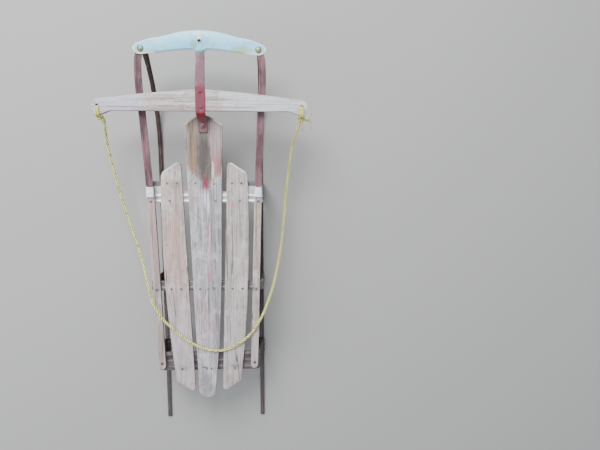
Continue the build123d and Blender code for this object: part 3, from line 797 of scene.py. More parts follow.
# %% The end section
def start_section(name, width, columns, thickness=0.0, across="X"):
    """A level end section in edit mode, all selected: a chain of points, or a slab with thickness.
    It lies across X or Y, with its thickness along Z."""
    turn = (radians(90), 0, 0 if across == "X" else radians(90))
    piece = add_new(bpy.ops.mesh.primitive_grid_add, name, x_subdivisions=columns, y_subdivisions=1,
                    size=1, rotation=turn)
    bpy.ops.object.transform_apply(location=True, rotation=True, scale=True)
    work_on(piece)
    if not thickness:
        select_where(piece, lambda place: place.z > 0)
        bpy.ops.mesh.delete(type="VERT")
        bpy.ops.mesh.select_all(action="SELECT")
        bpy.ops.transform.translate(value=(0, 0, 0.5))
    bpy.ops.transform.resize(value=spread(across, width, thickness or 1), center_override=(0, 0, 0))
    return piece


def raise_columns(piece, across, lift):
    """In edit mode, lifts each point of the section by what lift says for its place across."""
    axis = "XY".index(across)
    work = bmesh.from_edit_mesh(piece.data)
    spots = sorted({round(v.co[axis], 6) for v in work.verts})
    for spot in spots:
        if lift(spot):
            select_where(piece, lambda place: abs(place[axis] - spot) < 1e-5)
            bpy.ops.transform.translate(value=(0, 0, lift(spot)))
    bpy.ops.mesh.select_all(action="SELECT")


print("an end section can be started and pressed")

# %% [markdown]
# A path is a list of stations: a place, a heading, and what share of the section's width and height
# is left there. Every station is measured from the one before, as the end carries its own turn.


# %% Grow along stations
def shape_end(across, place, turn, ratio):
    """Turns and scales the selected end about its place."""
    if abs(turn) > 1e-7:
        bpy.ops.transform.rotate(value=-turn if across == "X" else turn, orient_axis=across,
                                 orient_type="GLOBAL", center_override=place)
    if ratio != (1, 1):
        bpy.ops.transform.resize(value=spread(across, *ratio), center_override=place)


def grow(piece, stations, across):
    """Grows the selected end through stations of (place, heading, (width, height) shares)."""
    place, heading, shares = stations[0]
    bpy.ops.transform.translate(value=place)
    shape_end(across, place, heading, shares)
    for new_place, new_heading, new_shares in stations[1:]:
        extrude(new_place - place)
        ratio = (new_shares[0] / shares[0], new_shares[1] / shares[1])
        shape_end(across, new_place, new_heading - heading, ratio)
        place, heading, shares = new_place, new_heading, new_shares
    close_up()


print("a section can be grown")

# %% [markdown]
# A Solidify modifier gives sheet its wall and a Bevel modifier softens the edges. Both are applied
# at once, so that the result can be measured. The sled is alike on both sides, so a right piece is
# built and its twin is mirrored. Dressing a piece gives it a material and a body to ride on, and
# hides the CAD nodes that it stands for.

# %% Finish, mirror and dress
SIDES = ((-1, "left"), (1, "right"))


def apply_modifier(piece, kind, **settings):
    """Adds a modifier with its settings to a piece and applies it."""
    take(piece)
    tool = piece.modifiers.new(kind, kind)
    for key, value in settings.items():
        setattr(tool, key, value)
    bpy.ops.object.modifier_apply(modifier=tool.name)


def add_finish(piece, wall, round_edge, steps=2, limit=35):
    """Gives a sheet its wall and any piece its soft edges and smooth shading."""
    if wall:
        apply_modifier(piece, "SOLIDIFY", thickness=wall, offset=0, use_even_offset=True)
    apply_modifier(piece, "BEVEL", width=round_edge, segments=steps, limit_method="ANGLE",
                   angle_limit=radians(limit))
    bpy.ops.object.shade_smooth_by_angle(angle=radians(40))


def both_sides(make, name):
    """A right piece and its mirrored left twin, each with its own mesh, as (side, piece)."""
    right = make(f"{name}_right")
    left = right.copy()
    left.data = right.data.copy()
    left.name = f"{name}_left"
    bpy.context.collection.objects.link(left)
    work_on(left)
    bpy.ops.transform.resize(value=(-1, 1, 1), center_override=(0, 0, 0))
    bpy.ops.mesh.flip_normals()
    bpy.ops.object.mode_set(mode="OBJECT")
    return ("left", left), ("right", right)


def dress(piece, material, slot, body, *nodes):
    """Gives a piece its material, its body if one is given, and hides the nodes it replaces. The slot is
    not used.
    """
    piece.data.materials.append(material)
    if body:
        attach(piece, body)
    if nodes:
        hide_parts(*nodes)


print("sides:", ", ".join(name for _, name in SIDES))

# %% [markdown]
# Bent metal has round corners. A drawing gives the corners and their radii, and this helper turns
# them into stations. Where a width or a place changes along the way, a short table is read between
# its pairs of numbers.


# %% Bent lines and short tables
def rounded_line(corners, radii, arc_step=radians(9), longest=0.05):
    """(u, v, heading) along a bent line: straight runs, and an arc of its radius at each corner."""
    ends = [Vector(c) for c in corners]
    line, start = [], ends[0]
    headings = [atan2(*(b - a).yx) for a, b in zip(ends, ends[1:])]
    onward = [*headings[1:], headings[-1]]
    for corner, radius, inward, outward in zip(ends[1:], [*radii, 0], headings, onward):
        turn = (outward - inward + pi) % (2 * pi) - pi
        cut = radius * tan(abs(turn) / 2)
        stop = corner - Vector((cos(inward), sin(inward))) * cut
        pieces = max(1, int((stop - start).length / longest))
        line += [(*start.lerp(stop, i / pieces), inward) for i in range(1 if line else 0, pieces + 1)]
        side = 1 if turn > 0 else -1
        middle = stop + Vector((-sin(inward), cos(inward))) * side * radius
        steps = max(1, round(abs(turn) / arc_step))
        for i in range(1, steps + 1 if radius else 0):
            angle = inward + turn * i / steps
            spot = middle - Vector((-sin(angle), cos(angle))) * side * radius
            line.append((*spot, angle))
        start = Vector(line[-1][:2])
    return line


def along(plan, spot):
    """A value read between the pairs of a short table."""
    for (a, low), (b, high) in zip(plan, plan[1:]):
        if spot <= b:
            return low + (high - low) * max(0.0, (spot - a) / (b - a))
    return plan[-1][1]


print("a right angle has", len(rounded_line([(0, 0), (1, 0), (1, 1)], [0.1], longest=9)), "stations")

# %% [markdown]
# ## The runners
#
# Each runner is one strip of spring steel with a groove pressed along its sole, which keeps the
# sled from slipping sideways and draws the strip in from 20 to 14 mm. CAD has to cut it where it
# starts to bend, so that the front part can swing. Here it is whole again: one strip from the
# tail, over the curl and back to the rail.

# %% Measures of the runners
STRIP_WALL, STRIP_WIDTH = 0.003, 0.020
GROOVE_HALF, GROOVE_DEPTH, GROOVE_SLOPE = 0.0048, 0.0016, 0.0016
CURL_RADIUS, CURL_Y, RISE_RADIUS, RISE_ANGLE = 0.021, 0.563, 0.365, radians(50)
ARM_FLAT_Y, TONGUE_Y, TONGUE_SHOULDER, TONGUE_END_Y = 0.536, 0.206, (0.1865, 0.1835), 0.1535
# Stations whose heading has turned further than this belong to the arm
ARM_RADIUS, ARM_HEADING = 0.12, radians(120)
# The groove runs out between these two, as the strip lies flat under the front arch
GROOVE_ENDS_Y = (0.160, 0.166)
# Y against X, and Y against width, of the arm and of the lower run
ARM_PLAN = ((0.150, 0.1561), (0.184, 0.1563), (0.216, 0.1575), (0.290, 0.161), (0.391, 0.166),
            (0.437, 0.170), (0.470, 0.1713), (0.525, 0.1713), (0.543, 0.1685), (0.556, 0.1645),
            (0.566, 0.163), (0.600, 0.163))
ARM_WIDTHS = ((0.150, 0.012), (0.1835, 0.012), (0.1865, 0.020), (0.543, 0.020), (0.566, 0.018),
              (0.6, 0.018))
LOWER_PLAN = ((0.150, 0.158), (0.300, 0.1585), (0.450, 0.161), (0.530, 0.1626), (0.570, 0.163),
              (0.600, 0.163))
LOWER_WIDTHS = ((0.530, 0.014), (0.570, 0.018), (0.600, 0.018))
# Y against the share of the groove's depth: none where the strip slides under the front arch
LOWER_GROOVE = ((0.160, 1.0), (0.166, 0.02), (0.206, 0.02), (0.230, 1.0))
ARM_GROOVE = 0.25
ARM_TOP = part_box("runner_front_right")[1].z
# Plates that lie on each other are this far apart
LIE_GAP = 0.0002
print("the arms lie", round(ARM_TOP, 4), "m above the floor")

# %% [markdown]
# The side view is drawn as a bent line: along the snow, up the rise, round the curl, back along the
# arm, and down to the rail. At each station the two plans give the place across and the width.


# %% Runners
def runner_strip(name):
    """The right runner, grown along its side view. Its plan gives X and width at each place."""
    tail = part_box("runner_rear_right")[0].y
    curl_z = ARM_TOP - CURL_RADIUS
    tongue_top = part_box("side_rail_right")[1].z + LIE_GAP + STRIP_WALL
    run_up = (curl_z - CURL_RADIUS * cos(RISE_ANGLE)) / sin(RISE_ANGLE)
    foot = CURL_Y + CURL_RADIUS * sin(RISE_ANGLE) - run_up * cos(RISE_ANGLE)
    head = foot + ARM_TOP / tan(RISE_ANGLE)
    corners = [(y, 0) for y in (tail, *GROOVE_ENDS_Y, foot)]
    corners += [(head, ARM_TOP), (ARM_FLAT_Y, ARM_TOP)]
    corners += [(y, tongue_top) for y in (TONGUE_Y, *TONGUE_SHOULDER, TONGUE_END_Y)]
    radii = [0, 0, RISE_RADIUS, CURL_RADIUS, ARM_RADIUS, ARM_RADIUS, 0, 0]
    stations = []
    for y, z, heading in rounded_line(corners, radii, longest=0.022):
        on_arm = abs(heading) > ARM_HEADING
        x = along(ARM_PLAN if on_arm else LOWER_PLAN, y)
        width = along(ARM_WIDTHS if on_arm else LOWER_WIDTHS, y)
        depth_share = ARM_GROOVE if on_arm else along(LOWER_GROOVE, y)
        middle = Vector((x, y - sin(heading) * STRIP_WALL / 2, z + cos(heading) * STRIP_WALL / 2))
        stations.append((middle, heading, (width / STRIP_WIDTH, depth_share)))
    strip = start_section(name, STRIP_WIDTH, 20)

    def groove(x):
        return GROOVE_DEPTH * min(1.0, max(0.0, (GROOVE_HALF - abs(x)) / GROOVE_SLOPE))

    raise_columns(strip, "X", groove)
    grow(strip, stations, "X")
    add_finish(strip, STRIP_WALL, 0.0007)
    return strip


for side, runner in both_sides(runner_strip, "runner_steel"):
    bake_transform(runner)
    dress(runner, arm_paint, "runner_paint", None, f"runner_front_{side}", f"runner_rear_{side}")
    print(runner.name, len(runner.data.polygons), "faces")

# %% [markdown]
# ## The arches
#
# Each arch is one pressing. Its edges are turned inwards as a flange, and round ribs run over the
# top and down the legs, which stiffen the thin sheet. A single chain of points across the sheet
# holds flange and ribs, and it is grown from foot to foot. The sheet gets its wall at the end.

# %% Arches
ARCH_WALL, ARCH_FLANGE, RIB_HEIGHT = 0.0018, 0.0055, 0.0015
ARCH_FOOT_IN, ARCH_FOOT_OUT, ARCH_KNEE_Z = 0.147, 0.167, 0.095
ARCH_BENDS, FLANGE_BEND = (0.008, 0.014, 0.014, 0.008), 0.0014
# Half width of the foot, half span at the top, and (place, half width) of each rib
ARCH_FORMS = {
    "front": (0.025, 0.167, ((-0.0270, 0.0042), (-0.0115, 0.0050))),
    "middle": (0.0135, 0.168, ((-0.0065, 0.0050),)),
    "rear": (0.023, 0.153, ((-0.020, 0.0050), (0.0, 0.0050), (0.020, 0.0050))),
}


def rib_lift(spot, ribs):
    """Height of the pressed ribs at a place across the arch."""
    for middle, half in ribs:
        if abs(spot - middle) < half:
            return RIB_HEIGHT * min(1.0, 1.5 * cos(pi / 2 * (spot - middle) / half))
    return 0.0


def pressed_arch(node, foot_half, top_out, ribs):
    """An arch as wide and as tall as its CAD node, which narrows from the knee down to its feet."""
    low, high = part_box(node)
    half = (high.y - low.y - ARCH_WALL) / 2
    top = high.z - RIB_HEIGHT
    corners = [(-ARCH_FOOT_IN, low.z), (-ARCH_FOOT_OUT, low.z), (-top_out, top), (top_out, top),
               (ARCH_FOOT_OUT, low.z), (ARCH_FOOT_IN, low.z)]
    line = rounded_line(corners, ARCH_BENDS, radians(11), 0.03)
    arch = start_section(f"{node}_pressing", 2 * half, round(2000 * half), across="Y")

    def lift(spot):
        flange = (ARCH_FLANGE - ARCH_WALL / 2) * max(0.0, 1 - (half - abs(spot)) / FLANGE_BEND)
        return ARCH_WALL / 2 + flange - rib_lift(spot, ribs)

    raise_columns(arch, "Y", lift)
    stations = []
    for x, z, heading in line:
        share = foot_half / half
        share += (1 - share) * min(1.0, max(0.0, (z - low.z) / (ARCH_KNEE_Z - low.z)))
        stations.append((Vector((x, (low.y + high.y) / 2, z)), heading - pi, (share, 1)))
    grow(arch, stations, "Y")
    add_finish(arch, ARCH_WALL, 0.0004)
    return arch


# %% [markdown]
# The front arch is cut away in front between the planks, and the sheet is turned down round each
# notch. A punch of the notch's plan does the cut, as a press would, and the lip is a wall that is
# pulled down from the same outline.

# %% Notches of the front arch
# X and Y round a notch, from its front left corner to its front right one
NOTCH = ((0.046, 0.197), (0.050, 0.1655), (0.072, 0.1655), (0.080, 0.197))
# In front of this line the notch is open, and there the punch reaches out to take the flange too
NOTCH_GATE_Y, PUNCH_REACH, PUNCH_HEIGHT = 0.19, 0.004, 0.04


def carve(piece, bit):
    """Takes the bit's shape out of a piece and removes the bit."""
    apply_modifier(piece, "BOOLEAN", operation="DIFFERENCE", object=bit, solver="EXACT")
    bpy.data.objects.remove(bit)
    bpy.ops.object.shade_smooth_by_angle(angle=radians(40))


def notch_outline(name, side, height, reach=0.0):
    """The notch's outline as a ring of edges, in edit mode with all selected."""
    piece = add_new(bpy.ops.mesh.primitive_circle_add, name, vertices=4, radius=1)
    for vert, (x, y) in zip(piece.data.vertices, NOTCH):
        vert.co = (side * x, y + (reach if y > NOTCH_GATE_Y else 0), height)
    work_on(piece)
    return piece


def cut_notches(arch, top):
    """Cuts both notches and pulls a lip down round each."""
    for side, name in SIDES:
        punch = notch_outline("punch", side, top - PUNCH_HEIGHT / 2, PUNCH_REACH)
        bpy.ops.mesh.edge_face_add()
        extrude((0, 0, PUNCH_HEIGHT))
        close_up()
        carve(arch, punch)
        lip = notch_outline(f"notch_lip_{name}", side, top)
        work = bmesh.from_edit_mesh(lip.data)
        gate = [e for e in work.edges if all(v.co.y > NOTCH_GATE_Y for v in e.verts)]
        bmesh.ops.delete(work, geom=gate, context="EDGES_FACES")
        bmesh.update_edit_mesh(lip.data)
        bpy.ops.mesh.select_all(action="SELECT")
        extrude((0, 0, -ARCH_FLANGE))
        bpy.ops.object.mode_set(mode="OBJECT")
        add_finish(lip, ARCH_WALL, 0.0003)
        dress(lip, metals["arch_steel_front"], "arch_steel", "root", "arch_front")


for name, form in ARCH_FORMS.items():
    node = f"arch_{name}"
    arch = pressed_arch(node, *form)
    if name == "front":
        cut_notches(arch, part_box(node)[1].z - RIB_HEIGHT)
    dress(arch, metals[f"arch_steel_{name}"], "arch_steel", "root", node)
    print(arch.name, [round(v, 4) for v in arch.dimensions])

# %% [markdown]
# ## Planks, rails and bar
#
# A plank is a slab grown from its tail to its nose. Each station gives the two edges, so a straight
# taper, a bowed edge and a slanted nose all come from a few pairs of numbers. The edges are then
# rounded, more than new wood would be, since years of hands and boots have worn them.

# %% The centre plank
PLANK_THICK = 0.010
# (Y, left X, right X) of the centre plank, from its tail, which is sawn a little askew
CENTRE_EDGES = ((-0.4675, -0.007, 0.003), (-0.4655, -0.0145, 0.0090), (-0.4610, -0.0225, 0.0145),
                (-0.4540, -0.0285, 0.0170), (-0.4440, -0.031, 0.0190), (-0.300, -0.0345, 0.034),
                (-0.100, -0.0405, 0.0435), (0.166, -0.0475, 0.050), (0.361, -0.053, 0.0545),
                (0.385, -0.018, 0.018))


def heights(node):
    """The middle height and the thickness of a level CAD node."""
    low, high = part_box(node)
    return (low.z + high.z) / 2, high.z - low.z


def slab(name, stations, thickness, middle_z, across, soft=0.0016):
    """A wooden slab: stations of (place along, low edge, high edge)."""
    first = stations[0]
    width = first[2] - first[1]
    piece = start_section(name, width, 2, thickness, across)
    spots = []
    for spot, low, high in stations:
        middle = (low + high) / 2
        place = (middle, spot, middle_z) if across == "X" else (spot, middle, middle_z)
        spots.append((Vector(place), 0, ((high - low) / width, 1)))
    grow(piece, spots, across)
    add_finish(piece, 0, soft, 3, 25)
    return piece


plank_low, plank_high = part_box("deck_plank_center")
centre_plank = slab("plank_center", CENTRE_EDGES, PLANK_THICK, heights("deck_plank_center")[0], "X")
dress(centre_plank, centre_wood, "deck_wood", "root", "deck_plank_center")
print(centre_plank.name, [round(v, 4) for v in centre_plank.dimensions])

# %% [markdown]
# A side plank is bowed along its outer edge, and its nose and tail are sawn off at a slant. Between
# heel and shoulder the edge is an arc, so its stations are spaced evenly there.

# %% The side planks
# A side plank: Y against X of its inner edge, and of its outer edge at the tail and at the nose.
# The bow between the two is an arc through three places, each given as (X, Y)
SIDE_INNER = ((-0.4435, 0.0500), (-0.4415, 0.0460), (-0.434, 0.0425), (0.241, 0.0665),
              (0.249, 0.0685), (0.2515, 0.074))
SIDE_TAIL = ((-0.4435, 0.0530), (-0.4415, 0.0570), (-0.4125, 0.0985))
SIDE_BOW = ((0.098, -0.4125), (0.1252, -0.040), (0.1245, 0.214))
SIDE_NOSE = ((0.214, 0.1245), (0.2255, 0.1185), (0.251, 0.080), (0.2515, 0.075))


def bowed_edge(start, mid, end, spot):
    """X of the arc through three (x, y) places at a given Y."""
    (x1, y1), (x2, y2), (x3, y3) = start, mid, end
    d = 2 * (x1 * (y2 - y3) + x2 * (y3 - y1) + x3 * (y1 - y2))
    q1, q2, q3 = x1 * x1 + y1 * y1, x2 * x2 + y2 * y2, x3 * x3 + y3 * y3
    cx = (q1 * (y2 - y3) + q2 * (y3 - y1) + q3 * (y1 - y2)) / d
    cy = (q1 * (x3 - x2) + q2 * (x1 - x3) + q3 * (x2 - x1)) / d
    return cx + sqrt(hypot(x1 - cx, y1 - cy) ** 2 - (spot - cy) ** 2)


def side_plank(name):
    """The right side plank."""
    heel_y, shoulder_y = SIDE_BOW[0][1], SIDE_BOW[2][1]
    spots = [-0.4435, -0.4428, -0.4415, -0.438, -0.434, -0.426]
    spots += [heel_y + (shoulder_y - heel_y) * i / 18 for i in range(19)]
    spots += [0.2255, 0.233, 0.241, 0.2455, 0.249, 0.251, 0.2515]
    stations = []
    for y in spots:
        if y < heel_y:
            outer = along(SIDE_TAIL, y)
        else:
            outer = bowed_edge(*SIDE_BOW, y) if y < shoulder_y else along(SIDE_NOSE, y)
        stations.append((y, along(SIDE_INNER, y), outer))
    return slab(name, stations, PLANK_THICK, heights("deck_plank_right")[0], "X", 0.0013)


for side, plank in both_sides(side_plank, "plank"):
    wood = left_wood if side == "left" else right_wood
    dress(plank, wood, "deck_wood", "root", f"deck_plank_{side}")
    print(plank.name, len(plank.data.polygons), "faces")

# %% [markdown]
# The side rails are plain battens that lean in towards the tail. Their rear corners are sawn off.

# %% Side rails
rail_low, rail_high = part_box("side_rail_right")
RAIL_WIDTH = 0.021
# X of the rail's middle at Y = 0, and how much it leans out per metre forwards
RAIL_X = (0.15079, 0.02991)


def rail_edges(y, narrow=0.0):
    """(Y, inner edge, outer edge) of the right rail."""
    middle = RAIL_X[0] + RAIL_X[1] * y
    return y, middle - RAIL_WIDTH / 2 + narrow, middle + RAIL_WIDTH / 2 - narrow


def side_rail(name):
    """The right side rail, with its rear corners sawn off."""
    spots = [rail_edges(rail_low.y, 0.006), rail_edges(rail_low.y + 0.008)]
    spots += [rail_edges(y) for y in (-0.2, 0.0, rail_high.y)]
    middle_z, thickness = heights("side_rail_right")
    return slab(name, spots, thickness, middle_z, "X")


for side, rail in both_sides(side_rail, "rail"):
    dress(rail, rail_wood, "rail_wood", "root", f"side_rail_{side}")
    print(rail.name, len(rail.data.polygons), "faces")

# %% [markdown]
# The bar is sawn from one board: a bow along its front, a shallow hollow behind, and a round lobe
# at each end for hands and feet. It is grown from tip to tip. The rope's holes are drilled with a
# Boolean modifier, because a hole through a finished slab is exactly what a drill leaves.

# %% The steering bar
BAR_END, BAR_END_RADIUS = (0.2765, 0.405), 0.0205
BAR_REAR_Y, BAR_HOLLOW_X, BAR_LOBE_X = 0.394, 0.242, 0.276
BAR_FRONT = ((0.014, 0.4515), (0.150, 0.4405), (0.2789, 0.4253))
ROPE_HOLE, ROPE_HOLE_RADIUS = (0.281, 0.4055), 0.0058


def bar_edges(x):
    """Rear and front edge of the bar at a distance from its middle."""
    end_x, end_y = BAR_END
    lobe = sqrt(max(0.0, BAR_END_RADIUS ** 2 - max(0.0, x - end_x) ** 2))
    front = along(BAR_FRONT, x) if x < BAR_FRONT[-1][0] else end_y + lobe
    rear = end_y - lobe
    if x < BAR_LOBE_X:
        share = max(0.0, (x - BAR_HOLLOW_X) / (BAR_LOBE_X - BAR_HOLLOW_X))
        rear += (BAR_REAR_Y - rear) * (0.5 + 0.5 * cos(pi * share))
    return rear, max(front, rear + 0.001)


def tip_to_tip(half):
    """The spots from one tip to the other, from those on one half."""
    return [-x for x in reversed(half[1:])] + half


def steering_bar():
    """The bar, with more stations where its ends are round."""
    half = [0.0, 0.014, 0.08, 0.150, 0.21, 0.242, 0.247, 0.252, 0.256, 0.260, 0.264, 0.268, 0.272, 0.2765]
    half += [BAR_END[0] + BAR_END_RADIUS * sin(radians(a)) for a in (15, 30, 42, 54, 65, 75, 83, 88)]
    stations = [(x, *bar_edges(abs(x))) for x in tip_to_tip(half)]
    middle_z, thickness = heights("steering_bar")
    return slab("bar", stations, thickness, middle_z, "Y", 0.0024)


def drill(piece, place, radius, depth):
    """Drills an upright hole."""
    carve(piece, add_new(bpy.ops.mesh.primitive_cylinder_add, "drill", vertices=32, radius=radius,
                         depth=depth, location=place))


bar = steering_bar()
bar_low, bar_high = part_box("steering_bar")
for side in (-1, 1):
    drill(bar, (side * ROPE_HOLE[0], ROPE_HOLE[1], bar_low.z), ROPE_HOLE_RADIUS, 0.08)
dress(bar, bar_wood, "bar_wood", "steering", "steering_bar")
print(bar.name, len(bar.data.polygons), "faces")

# %% [markdown]
# ## The strap
#
# The strap is flat bar with four bends. Its low end turns on a bolt through the centre plank, it
# steps up over the wooden bar, where two rivets hold it, and it slopes down again to the bumper.

# %% The steering strap
STRAP_WALL, STRAP_WIDTH, STRAP_GAP = 0.004, 0.027, 0.0003
PIVOT_Y = 0.357
# Y against the share of the full width, and the bends in (Y, radius)
STRAP_TAPER = ((0.337, 0.80), (0.3385, 0.94), (0.341, 1.0), (0.458, 1.0), (0.532, 0.911), (0.588, 0.911),
               (0.5945, 0.70), (0.597, 0.44))
STRAP_BENDS = ((0.370, 0.005), (0.3875, 0.005), (0.458, 0.012), (0.532, 0.012))
STRAP_HEEL_Y, STRAP_NOSE_Y = (0.3385, 0.341), (0.588, 0.5945)


def steering_strap():
    low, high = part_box("steering_strap")
    first, top = low.z + STRAP_WALL / 2, high.z - STRAP_WALL / 2
    nose = ARM_TOP - STRAP_GAP - STRAP_WALL / 2
    levels = (first, top, top, nose)
    corners = [(y, first) for y in (low.y, *STRAP_HEEL_Y)]
    corners += [(y, z) for (y, _), z in zip(STRAP_BENDS, levels)]
    corners += [(y, nose) for y in (*STRAP_NOSE_Y, high.y)]
    radii = [0, 0, *[radius for _, radius in STRAP_BENDS], 0, 0]
    stations = []
    for y, z, heading in rounded_line(corners, radii, radians(8), 0.02):
        stations.append((Vector((0, y, z)), heading, (along(STRAP_TAPER, y), 1)))
    strap = start_section("strap", STRAP_WIDTH, 4)
    grow(strap, stations, "X")
    add_finish(strap, STRAP_WALL, 0.0009, 3)
    dress(strap, strap_paint, "strap_paint", "steering", "steering_strap")
    return strap


strap = steering_strap()
print("strap:", [round(v, 4) for v in strap.dimensions])

# %% [markdown]
# ## The bumper
#
# The bumper is a stamping: a shallow tray turned upside down, wide in the middle, pointed at the
# ends, with its edge rolled down and a ridge pressed across the middle. It is grown sideways from
# tip to tip. Near the tips the edge stays flat, because there the plate lies on the runners.

# %% The bumper's outline
BUMPER_TIE = (0.161, 0.561)
BUMPER_WIDTH, BUMPER_WALL, BUMPER_CROWN = 0.040, 0.0022, 0.0016
# The edge is rolled down from a share of the half width on, and the roll fades out at the tips
BUMPER_RIM, RIM_START, RIM_END_X, RIM_FADE, RIM_LEAST = 0.006, 0.84, 0.128, 0.010, 0.02
# Ridge height and half width, and the width of the white edge of rubbed paint and painted highlight
RIDGE_HEIGHT, RIDGE_HALF, RUBBED_AND_HIGHLIT_EDGE = 0.0030, 0.012, 0.009
EYE_HOLE_RADIUS = 0.005
BUMPER_FOOT = ARM_TOP + LIE_GAP
# The front edge: an arc of this radius that starts 2 mm in front of the solid, then a short table
BUMPER_NOSE, BUMPER_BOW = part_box("bumper")[1].y + 0.002, 0.2862
# Distance from the middle against Y, of the front edge and of the rear edge with its tab
BUMPER_FRONT = ((0.082, 0.601), (0.140, 0.5866), (0.171, 0.5765), (0.180, 0.5672), (0.1815, 0.5628))
BUMPER_REAR = ((0.005, 0.5475), (0.012, 0.5555), (0.020, 0.560), (0.060, 0.557), (0.110, 0.5518),
               (0.163, 0.545), (0.172, 0.5475), (0.179, 0.555), (0.1815, 0.5612))


def bumper_edges(x):
    """Rear and front edge of the bumper's plan at a distance from its middle."""
    if x > BUMPER_FRONT[0][0]:
        front = along(BUMPER_FRONT, x)
    else:
        front = BUMPER_NOSE - BUMPER_BOW + sqrt(BUMPER_BOW ** 2 - x * x)
    return along(BUMPER_REAR, x), front


print("the bumper's middle is", round(bumper_edges(0)[1] - bumper_edges(0)[0], 4), "m wide")

# %% [markdown]
# The section is a crowned chain whose ends are rolled down. At the middle of the bumper the whole
# section is lifted a little, which makes the ridge.


# %% The bumper
def stamped_bumper():
    """The bumper's plate, with more stations where its outline bends."""
    half = [0.0, 0.003, 0.005, 0.0075, 0.010, 0.012, 0.015, 0.018, 0.022, 0.030, 0.045, 0.060, 0.072, 0.082]
    half += [0.095, 0.108, 0.118, 0.124, 0.130, 0.140, 0.152, 0.160, 0.166, 0.171, 0.1745, 0.177, 0.179]
    half += [0.1805, 0.1815]
    edge = (BUMPER_WIDTH - BUMPER_WALL) / 2
    plate = start_section("bumper_plate", 2 * edge, 30, across="Y")

    def tray(y):
        rim = BUMPER_RIM * max(0.0, (abs(y) / edge - RIM_START) / (1 - RIM_START)) ** 2
        return BUMPER_CROWN * cos(pi / 2 * y / edge) - rim

    raise_columns(plate, "Y", tray)
    stations = []
    for x in tip_to_tip(half):
        rear, front = bumper_edges(abs(x))
        rim = min(1.0, max(RIM_LEAST, (RIM_END_X - abs(x)) / RIM_FADE))
        ridge = RIDGE_HEIGHT * max(0.0, 1 - abs(x) / RIDGE_HALF)
        place = Vector((x, (rear + front) / 2, BUMPER_FOOT + BUMPER_WALL / 2 + ridge))
        stations.append((place, 0, ((front - rear) / BUMPER_WIDTH, rim)))
    grow(plate, stations, "Y")
    add_finish(plate, BUMPER_WALL, 0.0005)
    drill(plate, LINK_PLACE, EYE_HOLE_RADIUS, 0.05)
    return plate


def nearness_to_edge(place):
    """1 on the bumper's outline, and 0 from the inner side of its white edge of rubbed paint and painted
    highlight.
    """
    rear, front = bumper_edges(abs(place.x))
    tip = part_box("bumper")[1].x - abs(place.x)
    return max(0.0, 1 - min(place.y - rear, front - place.y, tip) / RUBBED_AND_HIGHLIT_EDGE)


bumper_plate = stamped_bumper()
mark(bumper_plate, "rim", [nearness_to_edge(vert.co) for vert in bumper_plate.data.vertices])
dress(bumper_plate, bumper_paint, "bumper_paint", "bumper", "bumper")
print("bumper:", [round(v, 4) for v in bumper_plate.dimensions], len(bumper_plate.data.polygons))

# %% [markdown]
# ## Round things
#
# Rivet heads, bolt heads and nuts are turned shapes. A circle is grown upwards through rings of
# changing radius, which is what a lathe does, and the last ring is closed.


# %% A helper for turned pieces
def turned(name, place, rings, metal, slot, body, *nodes, sides=28, hollow=False):
    """A turned piece: rings of (radius, height) above a place, closed at both ends or a tube."""
    x, y, z = place
    piece = add_new(bpy.ops.mesh.primitive_circle_add, name, vertices=sides, radius=rings[0][0],
                    fill_type="NOTHING" if hollow else "NGON", location=(x, y, z + rings[0][1]))
    bpy.ops.object.transform_apply(location=True, rotation=True, scale=True)
    work_on(piece, "EDGE" if hollow else "FACE")
    for (radius, height), (new_radius, new_height) in zip(rings, rings[1:]):
        extrude((0, 0, new_height - height))
        ratio = new_radius / radius
        bpy.ops.transform.resize(value=(ratio, ratio, 1), center_override=(x, y, z + new_height))
    close_up()
    bpy.ops.object.shade_smooth_by_angle(angle=radians(35))
    dress(piece, metal, slot, body, *nodes)


HEAD_SINK, HEAD_SKIRT = -0.0006, 0.0006


def dome_rings(radius, height):
    """Rings of a domed head that sits on a surface, a little sunk in, with an upright skirt."""
    rings = [(radius, HEAD_SINK), (radius, HEAD_SKIRT)]
    for angle in (18, 36, 52, 66, 78, 86):
        share = cos(radians(angle))
        rings.append((radius * share, HEAD_SKIRT + (height - HEAD_SKIRT) * sin(radians(angle))))
    return rings


def dome(name, place, radius, height, *dressing):
    turned(name, place, dome_rings(radius, height), *dressing)


print("a dome has", len(dome_rings(1, 1)), "rings")

# %% [markdown]
# The bolt that the strap turns on has a broad domed head on top and a nut below the plank. The
# hollow rivet in the bumper leaves an eye that goes right through. Its wall is one closed profile:
# over the lip, down the inside, round the foot and up the outside.

# %% Bolts and rivets of the steering
BOLT_DRESS = (metals["bolt_steel"], "bolt_steel", "root")
NAIL_DRESS = (metals["nail_steel"], "bolt_steel", "root")
RIVET_DRESS = (metals["rivet_steel"], "rivet_steel", "bumper")
# Radius and height of the domed heads
PIVOT_HEAD, BUMPER_HEAD, STRAP_HEAD = (0.0088, 0.0040), (0.0092, 0.0046), (0.0052, 0.0026)
STRAP_RIVETS = ((0.404, "rear"), (0.446, "front"))

bolt_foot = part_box("steering_pivot_bolt")[0].z
foot_of_plank = plank_low.z
strap_top = plank_high.z + STRAP_GAP + STRAP_WALL
dome("pivot_bolt_head", (0, PIVOT_Y, strap_top), *PIVOT_HEAD,
     metals["pivot_steel"], "bolt_steel", "root", "steering_pivot_bolt")
turned("pivot_bolt_shank", (0, PIVOT_Y, 0), [
    (0.004, bolt_foot), (0.004, bolt_foot + 0.003), (0.0072, bolt_foot + 0.0031),
    (0.0076, bolt_foot + 0.0042), (0.0076, foot_of_plank - 0.0012), (0.0070, foot_of_plank - 0.0002),
    (0.004, foot_of_plank), (0.004, strap_top + 0.0006)], *BOLT_DRESS, sides=6)

